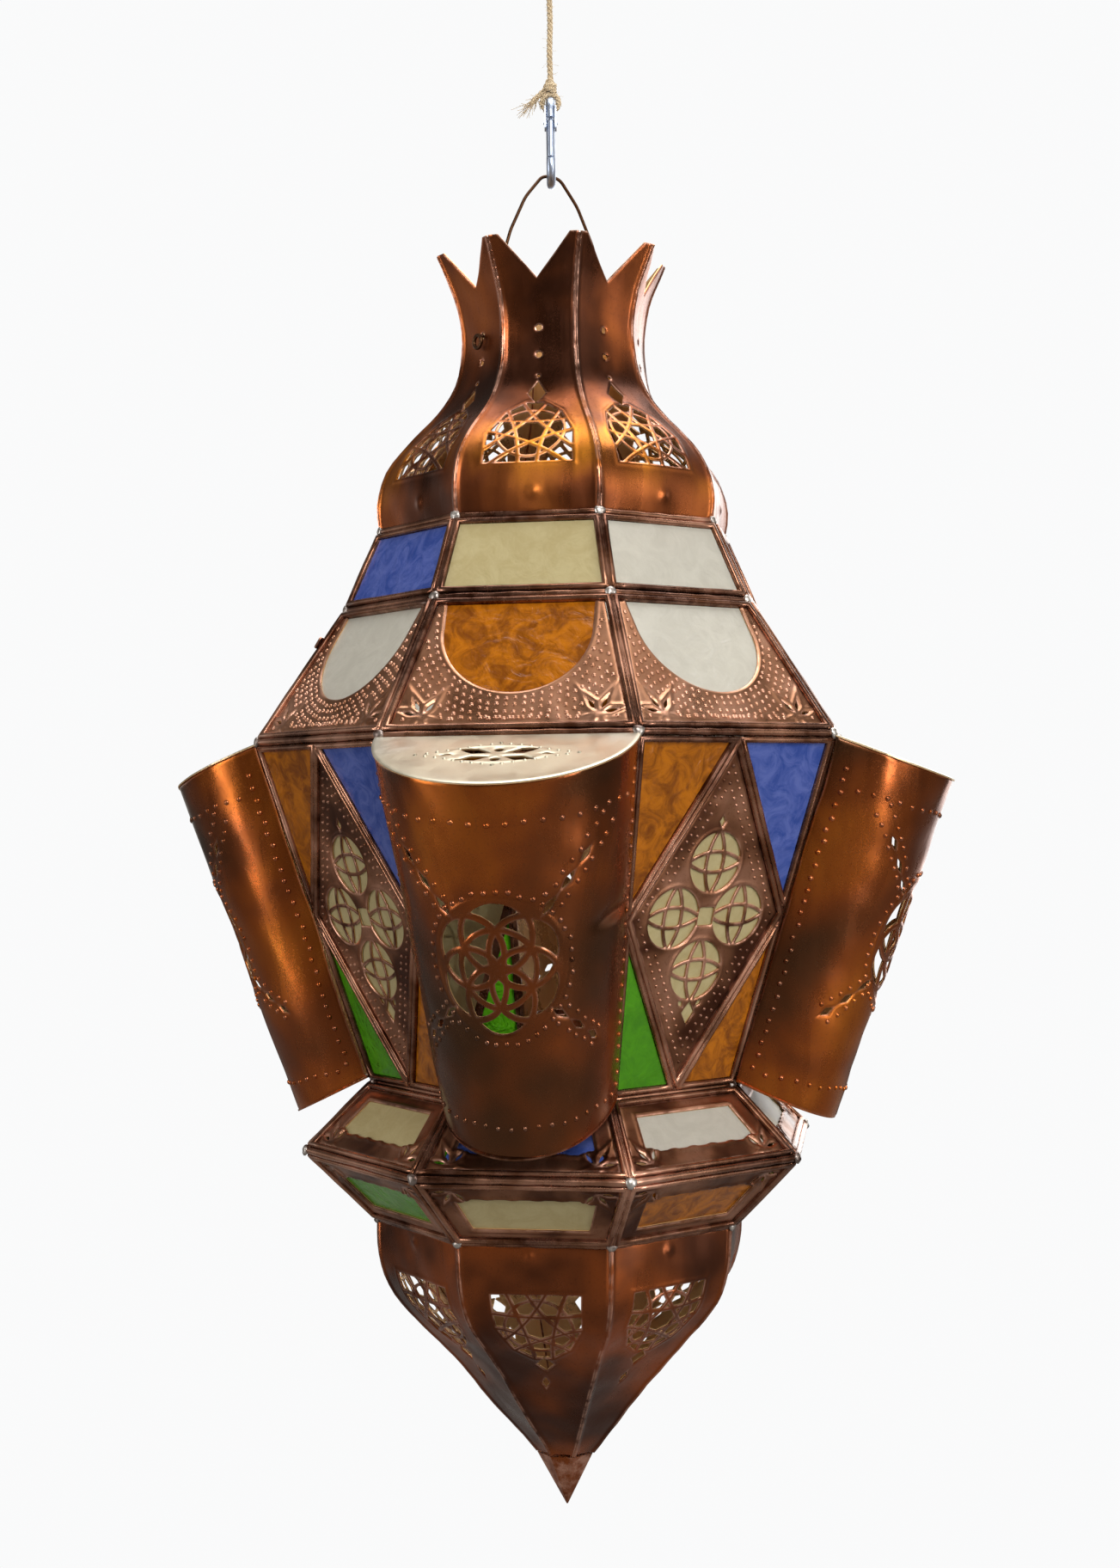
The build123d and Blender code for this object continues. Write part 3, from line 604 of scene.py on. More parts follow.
def tube(points, radius, closed=False, out=(0.31, 0.17, 0.93), segments=8, sway=0.0, step=9.0):
    """A round bar along a line of points, with mitred corners and a swaying thickness."""
    points = np.asarray(points, float)
    if closed:
        points = np.vstack([points, points[:1]])
    line = [points[0]]
    for here, after in zip(points, points[1:]):
        parts = max(1, int(np.linalg.norm(after - here) / step))
        line += [here + (after - here) * k / parts for k in range(1, parts + 1)]
    line = np.array(line[:-1] if closed else line)
    if closed:
        forward = np.roll(line, -1, 0) - line
        backward = line - np.roll(line, 1, 0)
    else:
        forward = np.vstack([line[1:] - line[:-1], line[-1:] - line[-2:-1]])
        backward = np.vstack([line[1:2] - line[:1], line[1:] - line[:-1]])
    forward = unit(forward)
    tangent = unit(forward + unit(backward))
    stretch = 1 / np.maximum(np.sum(tangent * forward, axis=1), 0.5)
    side, lift = square_to(tangent, out)
    angle = np.arange(segments) * 2 * math.pi / segments
    thickness = radius * (1 + sway * np.sin(line @ np.array([0.31, 0.47, 0.23]) + line[:, 2] * 0.8))
    around = (np.cos(angle)[None, :, None] * (side * stretch[:, None])[:, None, :]
              + np.sin(angle)[None, :, None] * lift[:, None, :])
    rings = line[:, None, :] + around * thickness[:, None, None]
    count = len(line)
    faces = [face for i in range(count if closed else count - 1)
             for face in ring_faces(i * segments, (i + 1) % count * segments, segments)]
    if not closed:
        faces.append(list(range(segments)))
        faces.append([(count - 1) * segments + k for k in range(segments - 1, -1, -1)])
    return rings.reshape(-1, 3), faces, np.full(count * segments, TUBE_EDGE)


def blob(centre, size, out, seed, rings=6, segments=10):
    """A lump of solder pressed flat along its outward direction."""
    out = unit(out)
    side, up = square_to(out, (0.2, 0.1, 0.97))
    points = []
    for i in range(rings + 1):
        polar = math.pi * i / rings
        for k in range(segments if 0 < i < rings else 1):
            turn = 2 * math.pi * k / segments
            lump = 1 + 0.16 * math.sin(3 * turn + seed) * math.sin(2 * polar + seed * 0.7)
            around = math.cos(turn) * side + math.sin(turn) * up
            points.append(np.asarray(centre) + size * lump * (
                math.sin(polar) * around + 0.55 * math.cos(polar) * out))
    faces = [[0, 1 + k, 1 + (k + 1) % segments] for k in range(segments)]
    last = 1 + (rings - 1) * segments
    for low in range(1, last - segments, segments):
        faces += ring_faces(low + segments, low, segments)
    low = last - segments
    faces += [[low + (k + 1) % segments, low + k, last] for k in range(segments)]
    return np.array(points), faces, np.full(len(points), LUMP_EDGE)


def join(parts):
    """Several (points, faces, edge distances) as one."""
    points, faces, edges, start = [], [], [], 0
    for part_points, part_faces, part_edges in parts:
        points.append(part_points)
        faces += [[k + start for k in face] for face in part_faces]
        edges.append(part_edges)
        start += len(part_points)
    return np.concatenate(points), faces, np.concatenate(edges)


def make_piece(name, parts, material, body, replaced=(), dent=None, angle=38.0):
    """A mesh object from parts in millimetres, riding on a body and standing for CAD nodes."""
    points, faces, edges = join(parts)
    points = dents(points, sizes().dent / MM if dent is None else dent)
    mesh = bpy.data.meshes.new(name)
    mesh.from_pydata((points * MM).tolist(), [], faces)
    mesh.attributes.new("edge", "FLOAT", "POINT")
    mesh.attributes["edge"].data.foreach_set("value", edges.astype(np.float32))
    mesh.polygons.foreach_set("use_smooth", np.ones(len(mesh.polygons), bool))
    mesh.set_sharp_from_angle(angle=math.radians(angle))
    mesh.materials.append(material)
    piece = bpy.data.objects.new(name, mesh)
    bpy.context.scene.collection.objects.link(piece)
    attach(piece, body)
    if replaced:
        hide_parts(*replaced)
    return piece


# ------------------------------------------------ materials
class Tree:
    """Short calls for wiring one node tree."""

    def __init__(self, tree):
        self.tree = tree

    def add(self, kind, **values):
        """Add a node; keys set its properties, or its inputs where there is no such property."""
        node = self.tree.nodes.new("ShaderNode" + kind)
        for key in [key for key in values if hasattr(node, key)]:
            setattr(node, key, values.pop(key))
        return self.set(node, **values)

    def set(self, node, **values):
        """Feed a node's inputs by name, with _ for a space."""
        for key, value in values.items():
            self.feed(node, key.replace("_", " "), value)
        return node

    def where(self):
        """Place on the piece itself."""
        return self.add("TexCoord").outputs["Object"]

    def feed(self, node, name, value):
        """Link a socket to an input, or set the input's value."""
        socket = node.inputs[name]
        if isinstance(value, bpy.types.NodeSocket):
            self.tree.links.new(value, socket)
        else:
            socket.default_value = value

    def math(self, operation, a, b=0.0, clamp=False):
        """One arithmetic step."""
        node = self.add("Math", operation=operation, use_clamp=clamp)
        self.feed(node, 0, a)
        self.feed(node, 1, b)
        return node.outputs[0]

    def mix(self, share, a, b):
        """Blend two colours."""
        node = self.add("Mix", data_type="RGBA")
        self.feed(node, 0, share)
        self.feed(node, 6, a)
        self.feed(node, 7, b)
        return node.outputs[2]

    def noise(self, where, scale, detail, rough, distort=0.0):
        """Fractal noise value."""
        return self.add("TexNoise", Vector=where, Scale=scale, Detail=detail, Roughness=rough,
                        Distortion=distort).outputs[0]

    def ramp(self, value, low, high, to_low=0.0, to_high=1.0):
        """Remap a value smoothly and clamp it."""
        return self.add("MapRange", interpolation_type="SMOOTHSTEP", Value=value, From_Min=low,
                        From_Max=high, To_Min=to_low, To_Max=to_high).outputs[0]

    def stretched(self, where, scale):
        """A place scaled along its upright, which draws noise out into streaks."""
        return self.add("Mapping", Vector=where, Scale=(1.0, 1.0, scale)).outputs[0]

    def place(self, made, **values):
        """Put a node group in this tree with its own values."""
        node = self.add("Group", node_tree=made)
        return self.set(node, **values).outputs

    def bump(self, shader, height, strength, distance):
        """Drive a shader's normal from a height."""
        made = self.add("Bump", Height=height, Strength=strength, Distance=distance)
        self.feed(shader, "Normal", made.outputs[0])


def group(name, inputs, outputs, build):
    """A shader node group built once: inputs and outputs are (name, socket kind, default) rows."""
    found = bpy.data.node_groups.get(name)
    if found:
        return found
    made = bpy.data.node_groups.new(name, "ShaderNodeTree")
    for label, kind, default in inputs:
        socket = made.interface.new_socket(label, in_out="INPUT", socket_type="NodeSocket" + kind)
        if default is not None:
            socket.default_value = default
    for label, kind in outputs:
        made.interface.new_socket(label, in_out="OUTPUT", socket_type="NodeSocket" + kind)
    start = made.nodes.new("NodeGroupInput")
    end = made.nodes.new("NodeGroupOutput")
    build(Tree(made), start.outputs, end)
    return made


def heat_tint():
    """Copper darkened in blotches and streaks by flame and handling."""
    def build(tree, given, end):
        where = tree.where()
        cloud = tree.noise(where, given["Blotch Scale"], 3.0, 0.5, 0.25)
        runs = tree.noise(tree.stretched(where, 0.22), 60.0, 3.0, 0.55, 0.3)
        speck = tree.noise(where, 700.0, 3.0, 0.75)
        base = tree.mix(tree.ramp(cloud, 0.34, 0.62), given["Dark"], given["Mid"])
        glow = tree.math("MULTIPLY", tree.ramp(cloud, 0.48, 0.70),
                         tree.ramp(runs, 0.30, 0.66, 0.35, 1.0))
        tinted = tree.mix(tree.math("MULTIPLY", glow, given["Glow"]), base, given["Bright"])
        spotted = tree.mix(tree.ramp(speck, 0.52, 0.76, 0.0, 0.45), tinted, given["Dark"])
        rough = tree.math("ADD", tree.ramp(runs, 0.3, 0.7, 0.24, 0.40),
                          tree.ramp(speck, 0.5, 0.8, 0.0, 0.14))
        height = tree.math("ADD", tree.math("MULTIPLY", speck, 0.10), runs)
        tree.set(end, Color=spotted, Roughness=rough, Height=height)
    return group("Heat Tint", [
        ("Dark", "Color", None), ("Mid", "Color", None), ("Bright", "Color", None),
        ("Blotch Scale", "Float", 14.0), ("Glow", "Float", 0.8),
    ], [("Color", "Color"), ("Roughness", "Float"), ("Height", "Float")], build)


def rubbed_and_highlit_edges():
    """A mask of cut edges, beads and dots rubbed bare and painted with highlight, and one of the
    sheets' inner sides.
    """
    def build(tree, given, end):
        edge = tree.add("Attribute", attribute_name="edge").outputs["Fac"]
        patchy = tree.ramp(tree.noise(tree.where(), 120.0, 3.0, 0.6), 0.36, 0.62)
        near = tree.ramp(edge, 0.0, given["Reach"], 1.0, 0.0)
        mask = tree.math("MULTIPLY", tree.math("MULTIPLY", near, patchy), given["Amount"], True)
        tree.set(end, Mask=mask, Lining=tree.ramp(edge, LINING * 0.4, LINING * 0.6))
    return group("Rubbed and Highlit Edges", [("Reach", "Float", 0.9), ("Amount", "Float", 0.7)],
                 [("Mask", "Float"), ("Lining", "Float")], build)


def glass_ripple():
    """Waves, streaks and seeds of hand-rolled glass."""
    def build(tree, given, end):
        where = tree.where()
        swirl = tree.noise(where, given["Scale"], 3.0, 0.5, 2.2)
        fine = tree.noise(where, 260.0, 2.0, 0.5, 0.4)
        cloud = tree.noise(where, 85.0, 5.0, 0.68, 1.1)
        tree.set(end, Height=tree.math("ADD", swirl, tree.math("MULTIPLY", fine, 0.18)),
                 Tone=tree.ramp(cloud, 0.32, 0.68))
    return group("Glass Ripple", [("Scale", "Float", 90.0)],
                 [("Height", "Float"), ("Tone", "Float")], build)


def blank_material(name):
    """A new material with its Principled shader, ready to wire."""
    material = bpy.data.materials.new(name)
    material.use_nodes = True
    return material, Tree(material.node_tree), material.node_tree.nodes["Principled BSDF"]


def made_once(build):
    """Let a finish be built on its first use only; later uses find it by its name."""
    @functools.wraps(build)
    def find(name, *values, **options):
        name += " finish"
        return bpy.data.materials.get(name) or build(name, *values, **options)
    return find


@made_once
def copper(name, dark, mid, bright, scale=14.0, glow=0.8, rubbed_and_highlit=0.6, rough=0.0, bump=0.4,
           painted_glow_z=None):
    """Aged copper; its inner side is barer, and it has a painted orange glow round a given height
    if given one.
    """
    material, tree, shader = blank_material(name)
    # Painted light: the bright tint is strongest at this height and fades away from it, so an
    # orange glow is painted there and the metal above and below it stays darker.
    if painted_glow_z is not None:
        height = tree.add("SeparateXYZ", Vector=tree.where()).outputs["Z"]
        away = tree.math("ABSOLUTE", tree.math("SUBTRACT", height, painted_glow_z))
        glow = tree.math("MULTIPLY", tree.ramp(away, 0.010, 0.034, 1.0, 0.12), glow)
    tint = tree.place(heat_tint(), Dark=colour(dark), Mid=colour(mid), Bright=colour(bright),
                      Blotch_Scale=scale, Glow=glow)
    wear_and_highlight = tree.place(rubbed_and_highlit_edges(), Amount=rubbed_and_highlit)
    # Partly painted highlight: copper_pink is laid on cut edges, beads and dots both as copper
    # rubbed bare and as painted highlight.
    worn_and_highlit = tree.mix(wear_and_highlight["Mask"], tint["Color"], colour("copper_pink"))
    tree.set(shader, Base_Color=tree.mix(wear_and_highlight["Lining"], worn_and_highlit, colour("lining")),
             Roughness=tree.math("ADD", tint["Roughness"], rough),
             Metallic=tree.ramp(wear_and_highlight["Lining"], 0.0, 1.0, 0.92, 0.55))
    tree.bump(shader, tint["Height"], bump, 0.0006)
    return material


@made_once
def glass(name, tint, tone, transmission, scale=90.0, rough=0.22, bump=0.55, tone_share=0.5):
    """Rippled or frosted coloured glass; tone is the second colour clouded through it."""
    material, tree, shader = blank_material(name)
    ripple = tree.place(glass_ripple(), Scale=scale)
    share = tree.math("MULTIPLY", ripple["Tone"], tone_share)
    tree.set(shader, Base_Color=tree.mix(share, colour(tint), (*tone, 1.0)), Roughness=rough,
             Transmission_Weight=transmission, IOR=1.48, Specular_IOR_Level=0.25)
    tree.bump(shader, ripple["Height"], bump, 0.0012)
    return material


@made_once
def plain_metal(name, tint, rough):
    """Plated or drawn metal with fine scratches."""
    material, tree, shader = blank_material(name)
    haze = tree.noise(tree.where(), 300.0, 4.0, 0.7)
    dull = tree.mix(tree.ramp(haze, 0.45, 0.75, 0.0, 0.2), colour(tint), colour("copper_dark"))
    tree.set(shader, Base_Color=dull, Metallic=0.95,
             Roughness=tree.ramp(haze, 0.3, 0.7, rough, rough + 0.2))
    tree.bump(shader, haze, 0.2, 0.00005)
    return material


@made_once
def fibre(name):
    """Twisted vegetable fibre."""
    material, tree, shader = blank_material(name)
    grain = tree.noise(tree.stretched(tree.where(), 0.3), 2600.0, 3.0, 0.7)
    shade = tree.mix(tree.ramp(grain, 0.35, 0.7), colour("twine"), (0.36, 0.24, 0.12, 1.0))
    tree.set(shader, Base_Color=shade, Roughness=0.85, Sheen_Weight=0.3)
    tree.bump(shader, grain, 0.6, 0.0004)
    return material


def dome_copper():
    """Copper with a painted orange glow round the rosettes' height."""
    return copper("dome_copper", "copper_dark", "copper_mid", "copper_bright", scale=17.0,
                  glow=1.0, painted_glow_z=UPPER_ROSE_Z * MM)


def foot_copper():
    """Dark red-brown copper of the lower dome."""
    return copper("foot_copper", "copper_dark", "copper_mid", "bay_red", scale=17.0, glow=0.9)


def bay_copper():
    """Olive and red-brown patina."""
    return copper("bay_copper", "olive", "bay_red", "copper_bright", scale=11.0, glow=0.32,
                  rough=-0.07, rubbed_and_highlit=0.25)


def punched_copper():
    """Rosy copper, much rubbed by punching, with painted highlight on its edges and dots."""
    return copper("punched_copper", "brown", "punched", "copper_pink", scale=26.0, glow=0.5,
                  rubbed_and_highlit=0.8)


def embossed_copper():
    """Duller brown copper in the lozenges and bands."""
    return copper("embossed_copper", "copper_dark", "brown", "copper_pink", scale=30.0,
                  glow=0.28, rough=0.04)


def edging_copper():
    """Brown copper of the rolled edging, lightly rubbed, with a little painted highlight."""
    return copper("edging_copper", "copper_dark", "brown", "copper_pink", scale=18.0, glow=0.6,
                  rubbed_and_highlit=0.3, rough=-0.06)


# ------------------------------------------------ rows of punched dots
def dots_along(start, end, spacing):
    """Evenly spaced spots on a straight line."""
    start, end = np.array(start, float), np.array(end, float)
    count = max(2, int(round(np.linalg.norm(end - start) / spacing)) + 1)
    return [tuple(start + (end - start) * k / (count - 1)) for k in range(count)]


def dots_about(corners, spacing):
    """Spots along every side of a closed outline."""
    return [spot for here, after in edges_of(corners) for spot in dots_along(here, after, spacing)]


def dots_round(cx, cy, radius, spacing, start=0.0, end=360.0):
    """Evenly spaced spots on an arc, in degrees."""
    span = math.radians(end - start)
    count = max(2, int(round(radius * span / spacing)))
    angles = [math.radians(start) + span * k / count for k in range(count + 1)]
    return [(cx + radius * math.cos(angle), cy + radius * math.sin(angle)) for angle in angles]


def uneven(spots, amount=0.35):
    """Spots nudged off their rows, as a hand punch does."""
    return np.array([(x + amount * math.sin(12.9 * x + 7.1 * y),
                      y + amount * math.sin(5.3 * x - 9.7 * y)) for x, y in spots])


# ------------------------------------------------ pieces
def dome_seam(side, end):
    """Folded seam along one corner of a dome side, up to a place on its profile."""
    v = np.linspace(1.0, end, 28)
    line = side.place(side.half(v) + SEAM_GAP, v, np.full(len(v), 0.45))
    return tube(line, 0.62, out=side.radial, segments=7, sway=0.12, step=6.0)


def ridge(distance, width):
    """A rounded rise, one high, that follows where a distance is nothing."""
    return np.exp(-(distance / width) ** 2)


def dome_relief(side, rose_v, knock):
    """Relief of a dome side: rolled seams, a lip round the rosette and a knock (u, v, spread)."""
    def relief(u, v):
        seam = ridge(side.half(v) - np.abs(u), 1.1) * 0.9
        rose = ridge(inside_polygon(u, v - rose_v, SHIELD) + 1.0, 1.2) * 0.3
        return seam + rose + np.exp(-(((u - knock[0]) ** 2 + (v - knock[1]) ** 2) / knock[2])) * 0.8
    return relief


def box_of(outline):
    """The (low u, high u, low v, high v) of an outline, with a little room."""
    low, high = outline.min(0) - 1, outline.max(0) + 1
    return low[0], high[0], low[1], high[1]


def upper_dome(index):
    """One crowned ogee side with its rosette, diamond and neck holes."""
    side = DomeSide(UPPER_PROFILE, index)
    rose_v = side.at_height(UPPER_ROSE_Z)
    valley = side.at_height(CROWN_VALLEY_Z)
    tip_half = side.half(side.length) - CROWN_TIP_HALF

    def metal(u, v):
        kept = np.minimum(side.half(v) - np.abs(u), np.minimum(v, side.length - v))
        notch = (np.abs(u) - (v - valley) / (side.length - valley) * tip_half) * 0.8
        kept = np.minimum(kept, np.where(v > valley, notch, np.hypot(u, v - valley)))
        neck = [inside_circle(u, v, 0, side.at_height(z), 1.5) for z in NECK_HOLE_Z]
        return pierce(kept, shield_star(u, v - rose_v, math.pi / 2),
                      diamond(u, v, 0, rose_v + 28.0, 4.4, 7.0),
                      inside_circle(u, v, 0, rose_v + 38.0, 0.9), *neck)

    wide = side.half(12.0) + 3
    burrs = [(1.9 * math.cos(a), side.at_height(NECK_HOLE_Z[1]) + 1.9 * math.sin(a))
             for a in (0.4, 2.3, 4.1)]
    return [cut_sheet(side, metal, (-wide, wide, -1.0, side.length + 1.0),
                      dome_relief(side, rose_v, (3, 9.0, 7.0)), DOME_CELL, -DOME_SEAT),
            dome_seam(side, side.length - 0.8),
            punch_dots(side, burrs, 0.5, 0.35, DOME_SEAT)]


def lower_dome(index):
    """One ogee side of the foot with its rosette and diamond."""
    side = DomeSide(LOWER_PROFILE, index)
    rose_v = side.at_height(LOWER_ROSE_Z)

    def metal(u, v):
        kept = np.minimum(side.half(v) - np.abs(u), np.minimum(v, side.length - v))
        return pierce(kept, shield_star(u, v - rose_v, -math.pi / 2),
                      diamond(u, v, 0, rose_v + 26.5, 4.0, 5.4),
                      slot_hole(u, v, 1.5, rose_v + 41.0, 8.0, 3.6, 1.5))

    wide = side.half(5.0) + 3
    return [cut_sheet(side, metal, (-wide, wide, -1.0, side.length + 1.0),
                      dome_relief(side, rose_v, (2, 5.5, 6.0)), DOME_CELL, -DOME_SEAT),
            dome_seam(side, side.length)]


def sprig_slots(u, v, sprigs):
    """Leaf-shaped cuts fanning from each sprig's root, given with the way its leaves lean."""
    slots = []
    for x, y, lean, rise in sprigs:
        for angle in LEAF_ANGLES:
            out, up = lean * math.cos(angle), rise * math.sin(angle)
            slots.append(slot_hole(u, v, x + LEAF_REACH * out, y + LEAF_REACH * up,
                                   LEAF_LENGTH, LEAF_WIDTH, math.atan2(up, out)))
    return slots


def sprig_swell(u, v, sprigs):
    """The metal pushed up along each leaf of the sprigs."""
    swell = sum(ridge(slot + 1.4, 0.9) for slot in sprig_slots(u, v, sprigs))
    return 0.5 * np.minimum(swell, 1.0)


def shoulder_sheet(index):
    """Punched trapezium round a window with a round foot."""
    side = Facet(SHOULDER, index)
    outline = inset(side.corners(), CAME_WIDTH + FIT_GAP)
    centre = outline[2][1] - 15.0
    sprigs = [(s * (outline[1][0] - 13), outline[0][1] + 4.5, s, 1) for s in (-1, 1)]

    def window(u, v):
        return np.where(v > centre, SHOULDER_WINDOW - np.abs(u),
                        inside_circle(u, v, 0, centre, SHOULDER_WINDOW))

    def metal(u, v):
        return pierce(inside_polygon(u, v, outline), window(u, v), *sprig_slots(u, v, sprigs))

    def relief(u, v):
        return ridge(window(u, v) + 1.2, 0.8) * 0.35 + sprig_swell(u, v, sprigs)

    spots = []
    for row in range(6):
        ring = SHOULDER_WINDOW + 3.2 + 3.5 * row
        spots += dots_round(0, centre, ring, 3.9, 180 + 2 * row, 360 - 2 * row)
        if row < 3:
            spots += [(s * ring, centre + 4.2 * k) for s in (-1, 1) for k in (1, 2)]
    spots += dots_along(outline[0] + (5, 3.0), outline[1] + (-5, 3.0), 4.2)
    spots = uneven(spots)
    room = inside_polygon(*spots.T, outline)
    leaves = np.max(sprig_slots(*spots.T, sprigs), axis=0)
    spots = spots[(room > 2.0) & (leaves < -2.6)]
    return [cut_sheet(side, metal, box_of(outline), relief),
            punch_dots(side, spots, sizes().dot_radius / MM, sizes().dot_height / MM,
                       sizes().sheet / MM)]


def lozenge_outline(side):
    """The rhomb between the middles of a body facet's edges."""
    corners = side.corners()
    return np.array([(corners[k] + corners[(k + 1) % 4]) / 2 for k in range(4)])


def lozenge_sheet(index):
    """Pierced lozenge with four round lobes about a small square."""
    side = Facet(BODY, index)
    outline = inset(lozenge_outline(side), CAME_WIDTH + FIT_GAP)

    def metal(u, v):
        holes = [globe(u, v, x, y, LOBE_RADIUS, 1.5) for x, y in LOBES]
        holes += [diamond(u * 0.7 + v * 0.7, v * 0.7 - u * 0.7, 0, 0, 6.0, 6.0),
                  diamond(u, v, 0, -45.5, 3.6, 5.6), diamond(u, v, 0, 44.0, 1.6, 2.6)]
        holes += [slot_hole(u, v, s * 5.2, -41.0, 5.0, 2.6, s * 0.9) for s in (-1, 1)]
        return pierce(inside_polygon(u, v, outline), *holes)

    def relief(u, v):
        swell = sum(ridge(np.hypot(u - x, v - y) - LOBE_RADIUS - 0.8, 1.0) for x, y in LOBES)
        return 0.4 * np.minimum(swell, 1.0)

    spots = uneven([spot for margin in (3.4, 7.2)
                    for spot in dots_about(inset(outline, margin), 4.0)], 0.3)
    clear = np.min([np.hypot(spots[:, 0] - x, spots[:, 1] - y) for x, y in LOBES], axis=0)
    spots = spots[(clear > 16.0) & (np.hypot(spots[:, 0], np.abs(spots[:, 1]) - 44.5) > 6.5)]
    return [cut_sheet(side, metal, box_of(outline), relief),
            punch_dots(side, spots, 0.95, 0.65, sizes().sheet / MM)]


def band_sheet(band, index, flip):
    """Embossed skirt or under-rim panel round a window with one scalloped edge."""
    side = Facet(band, index)
    outline = inset(side.corners(), CAME_WIDTH + FIT_GAP)
    window = inset(side.corners(), CAME_WIDTH + 9.0)
    edge = window[0 if flip > 0 else 2][1]
    foot = outline[0] if flip > 0 else outline[2]
    sprigs = [(s * (abs(foot[0]) - 11), foot[1] + flip * 2.5, s, flip) for s in (-1, 1)]
    pane_outline = inset(side.corners(), CAME_WIDTH + 6.5)
    if flip > 0:
        window[2:, 1] = pane_outline[2][1]
    else:
        window[:2, 1] = pane_outline[0][1]

    def pane(u, v):
        scallop = (1.6 * np.abs(np.sin(u * math.pi / 11.0))
                   + 2.2 * np.clip((np.abs(u) - 22) / 8, 0, 1) ** 2)
        return np.minimum(inside_polygon(u, v, window), (v - edge) * flip - scallop + 1.0)

    def metal(u, v):
        return pierce(inside_polygon(u, v, outline), pane(u, v), *sprig_slots(u, v, sprigs))

    def relief(u, v):
        return ridge(pane(u, v) + 1.2, 0.8) * 0.4 + sprig_swell(u, v, sprigs)

    return [cut_sheet(side, metal, box_of(outline), relief)]


def bay_sheet(index):
    """Half-round shell with a pierced roundel, a cross of slots and rows of dots."""
    bay = Bay(index)
    half = bay.facet.length / 2
    rose = BAY_ROSE_V
    arms = [(math.atan2(rise, lean), reach)
            for lean in (-1, 1) for rise, reach in ((-0.80, 62), (1.12, 78))]

    def metal(u, v):
        foot, top = bay.ends(u)
        kept = np.minimum(bay.width - 0.4 - np.abs(u), np.minimum(v - foot, top - v))
        web = rosette(u, v, 0, rose, 6, 16.0, 14.6, 2.8)
        inner = np.minimum(web, -ring_band(u, v, 0, rose, 17.5, 2.6))
        holes = [np.minimum(inner, inside_circle(u, v, 0, rose, BAY_ROSE_RADIUS))]
        holes += [slot_hole(u, v, along * math.cos(angle), rose + along * math.sin(angle),
                            length, 3.4, angle)
                  for angle, _ in arms for along, length in BAY_SLOTS]
        return pierce(kept, *holes)

    def relief(u, v):
        knock = 2.4 * np.exp(-((u - 62) ** 2 / 150 + (v - 12) ** 2 / 12)) if index == 0 else 0.0
        return 0.35 * ridge(np.hypot(u, v - rose) - BAY_ROSE_RADIUS - 0.8, 1.0) - knock

    box = (-bay.width - 1, bay.width + 1, -half - 12, half + 1)
    spots = dots_round(0, rose, BAY_ROSE_RADIUS + 3.6, 5.2)
    for angle, reach in arms:
        way = np.array([math.cos(angle), math.sin(angle)])
        for shift in (-4.2, 4.2):
            start = np.array([0, rose]) + shift * np.array([-way[1], way[0]])
            spots += dots_along(start + way * (BAY_ROSE_RADIUS + 7.5), start + way * reach, 5.4)
    for v in (half - 22, 10 - half):
        spots += dots_along((14 - bay.width, v), (bay.width - 14, v), 7.2)
    for u in (7 - bay.width, bay.width - 7):
        spots += dots_along((u, 12 - half), (u, half - 14), 5.6)
    spots = uneven(spots, 0.5)
    foot, top = bay.ends(spots[:, 0])
    spots = spots[(np.abs(spots[:, 0]) < bay.width - 4)
                  & (spots[:, 1] > foot + 3) & (spots[:, 1] < top - 3)]
    return [cut_sheet(bay, metal, box, relief, cell=0.85, base=-sizes().sheet / MM),
            punch_dots(bay, spots, 1.35, 0.85)]


class Cap(Plane):
    """The tilted plane of a bay's top cap: v runs away from the facet and h upward."""

    def __init__(self, index):
        facet = Facet(BODY, index)
        self.half, self.depth = BAY_TOP[0] + 0.5, BAY_TOP[1] - BAY_START + 0.6
        self.origin = facet.origin + facet.up * facet.length / 2 + facet.out * BAY_START
        self.across = -facet.across
        self.up = facet.out * math.cos(BAY_TOP_TILT) - facet.up * math.sin(BAY_TOP_TILT)
        self.out = facet.up * math.cos(BAY_TOP_TILT) + facet.out * math.sin(BAY_TOP_TILT)


def bay_cap(index):
    """Tinned half-round cap with a small pierced flower and a lozenge of dots."""
    cap = Cap(index)
    middle = cap.depth * 0.42

    def metal(u, v):
        round_edge = (1 - np.hypot(u / cap.half, v / cap.depth)) * min(cap.half, cap.depth)
        kept = np.minimum(round_edge, v)
        holes = [slot_hole(u, v, s * 10.0, middle + t * 4.4, 16.0, 6.4, t * s * 0.30)
                 for s in (-1, 1) for t in (-1, 1)]
        holes += [inside_circle(u, v, 0, middle + t * 5.6, 2.1) for t in (-1, 1)]
        holes += [slot_hole(u, v, s * 21.0, middle, 7.0, 2.2, 0.0) for s in (-1, 1)]
        return pierce(kept, *holes)

    def relief(u, v):
        return 0.35 * ridge(np.hypot(u / 2.1, v - middle) - 9.8, 0.9)

    rhomb = np.array([(-34, middle), (0, middle - 13.5), (34, middle), (0, middle + 13.5)])
    box = (-cap.half - 1, cap.half + 1, -1, cap.depth + 1)
    return [cut_sheet(cap, metal, box, relief, base=-0.7),
            punch_dots(cap, uneven(dots_about(rhomb, 4.6), 0.3), 0.95, 0.55)]


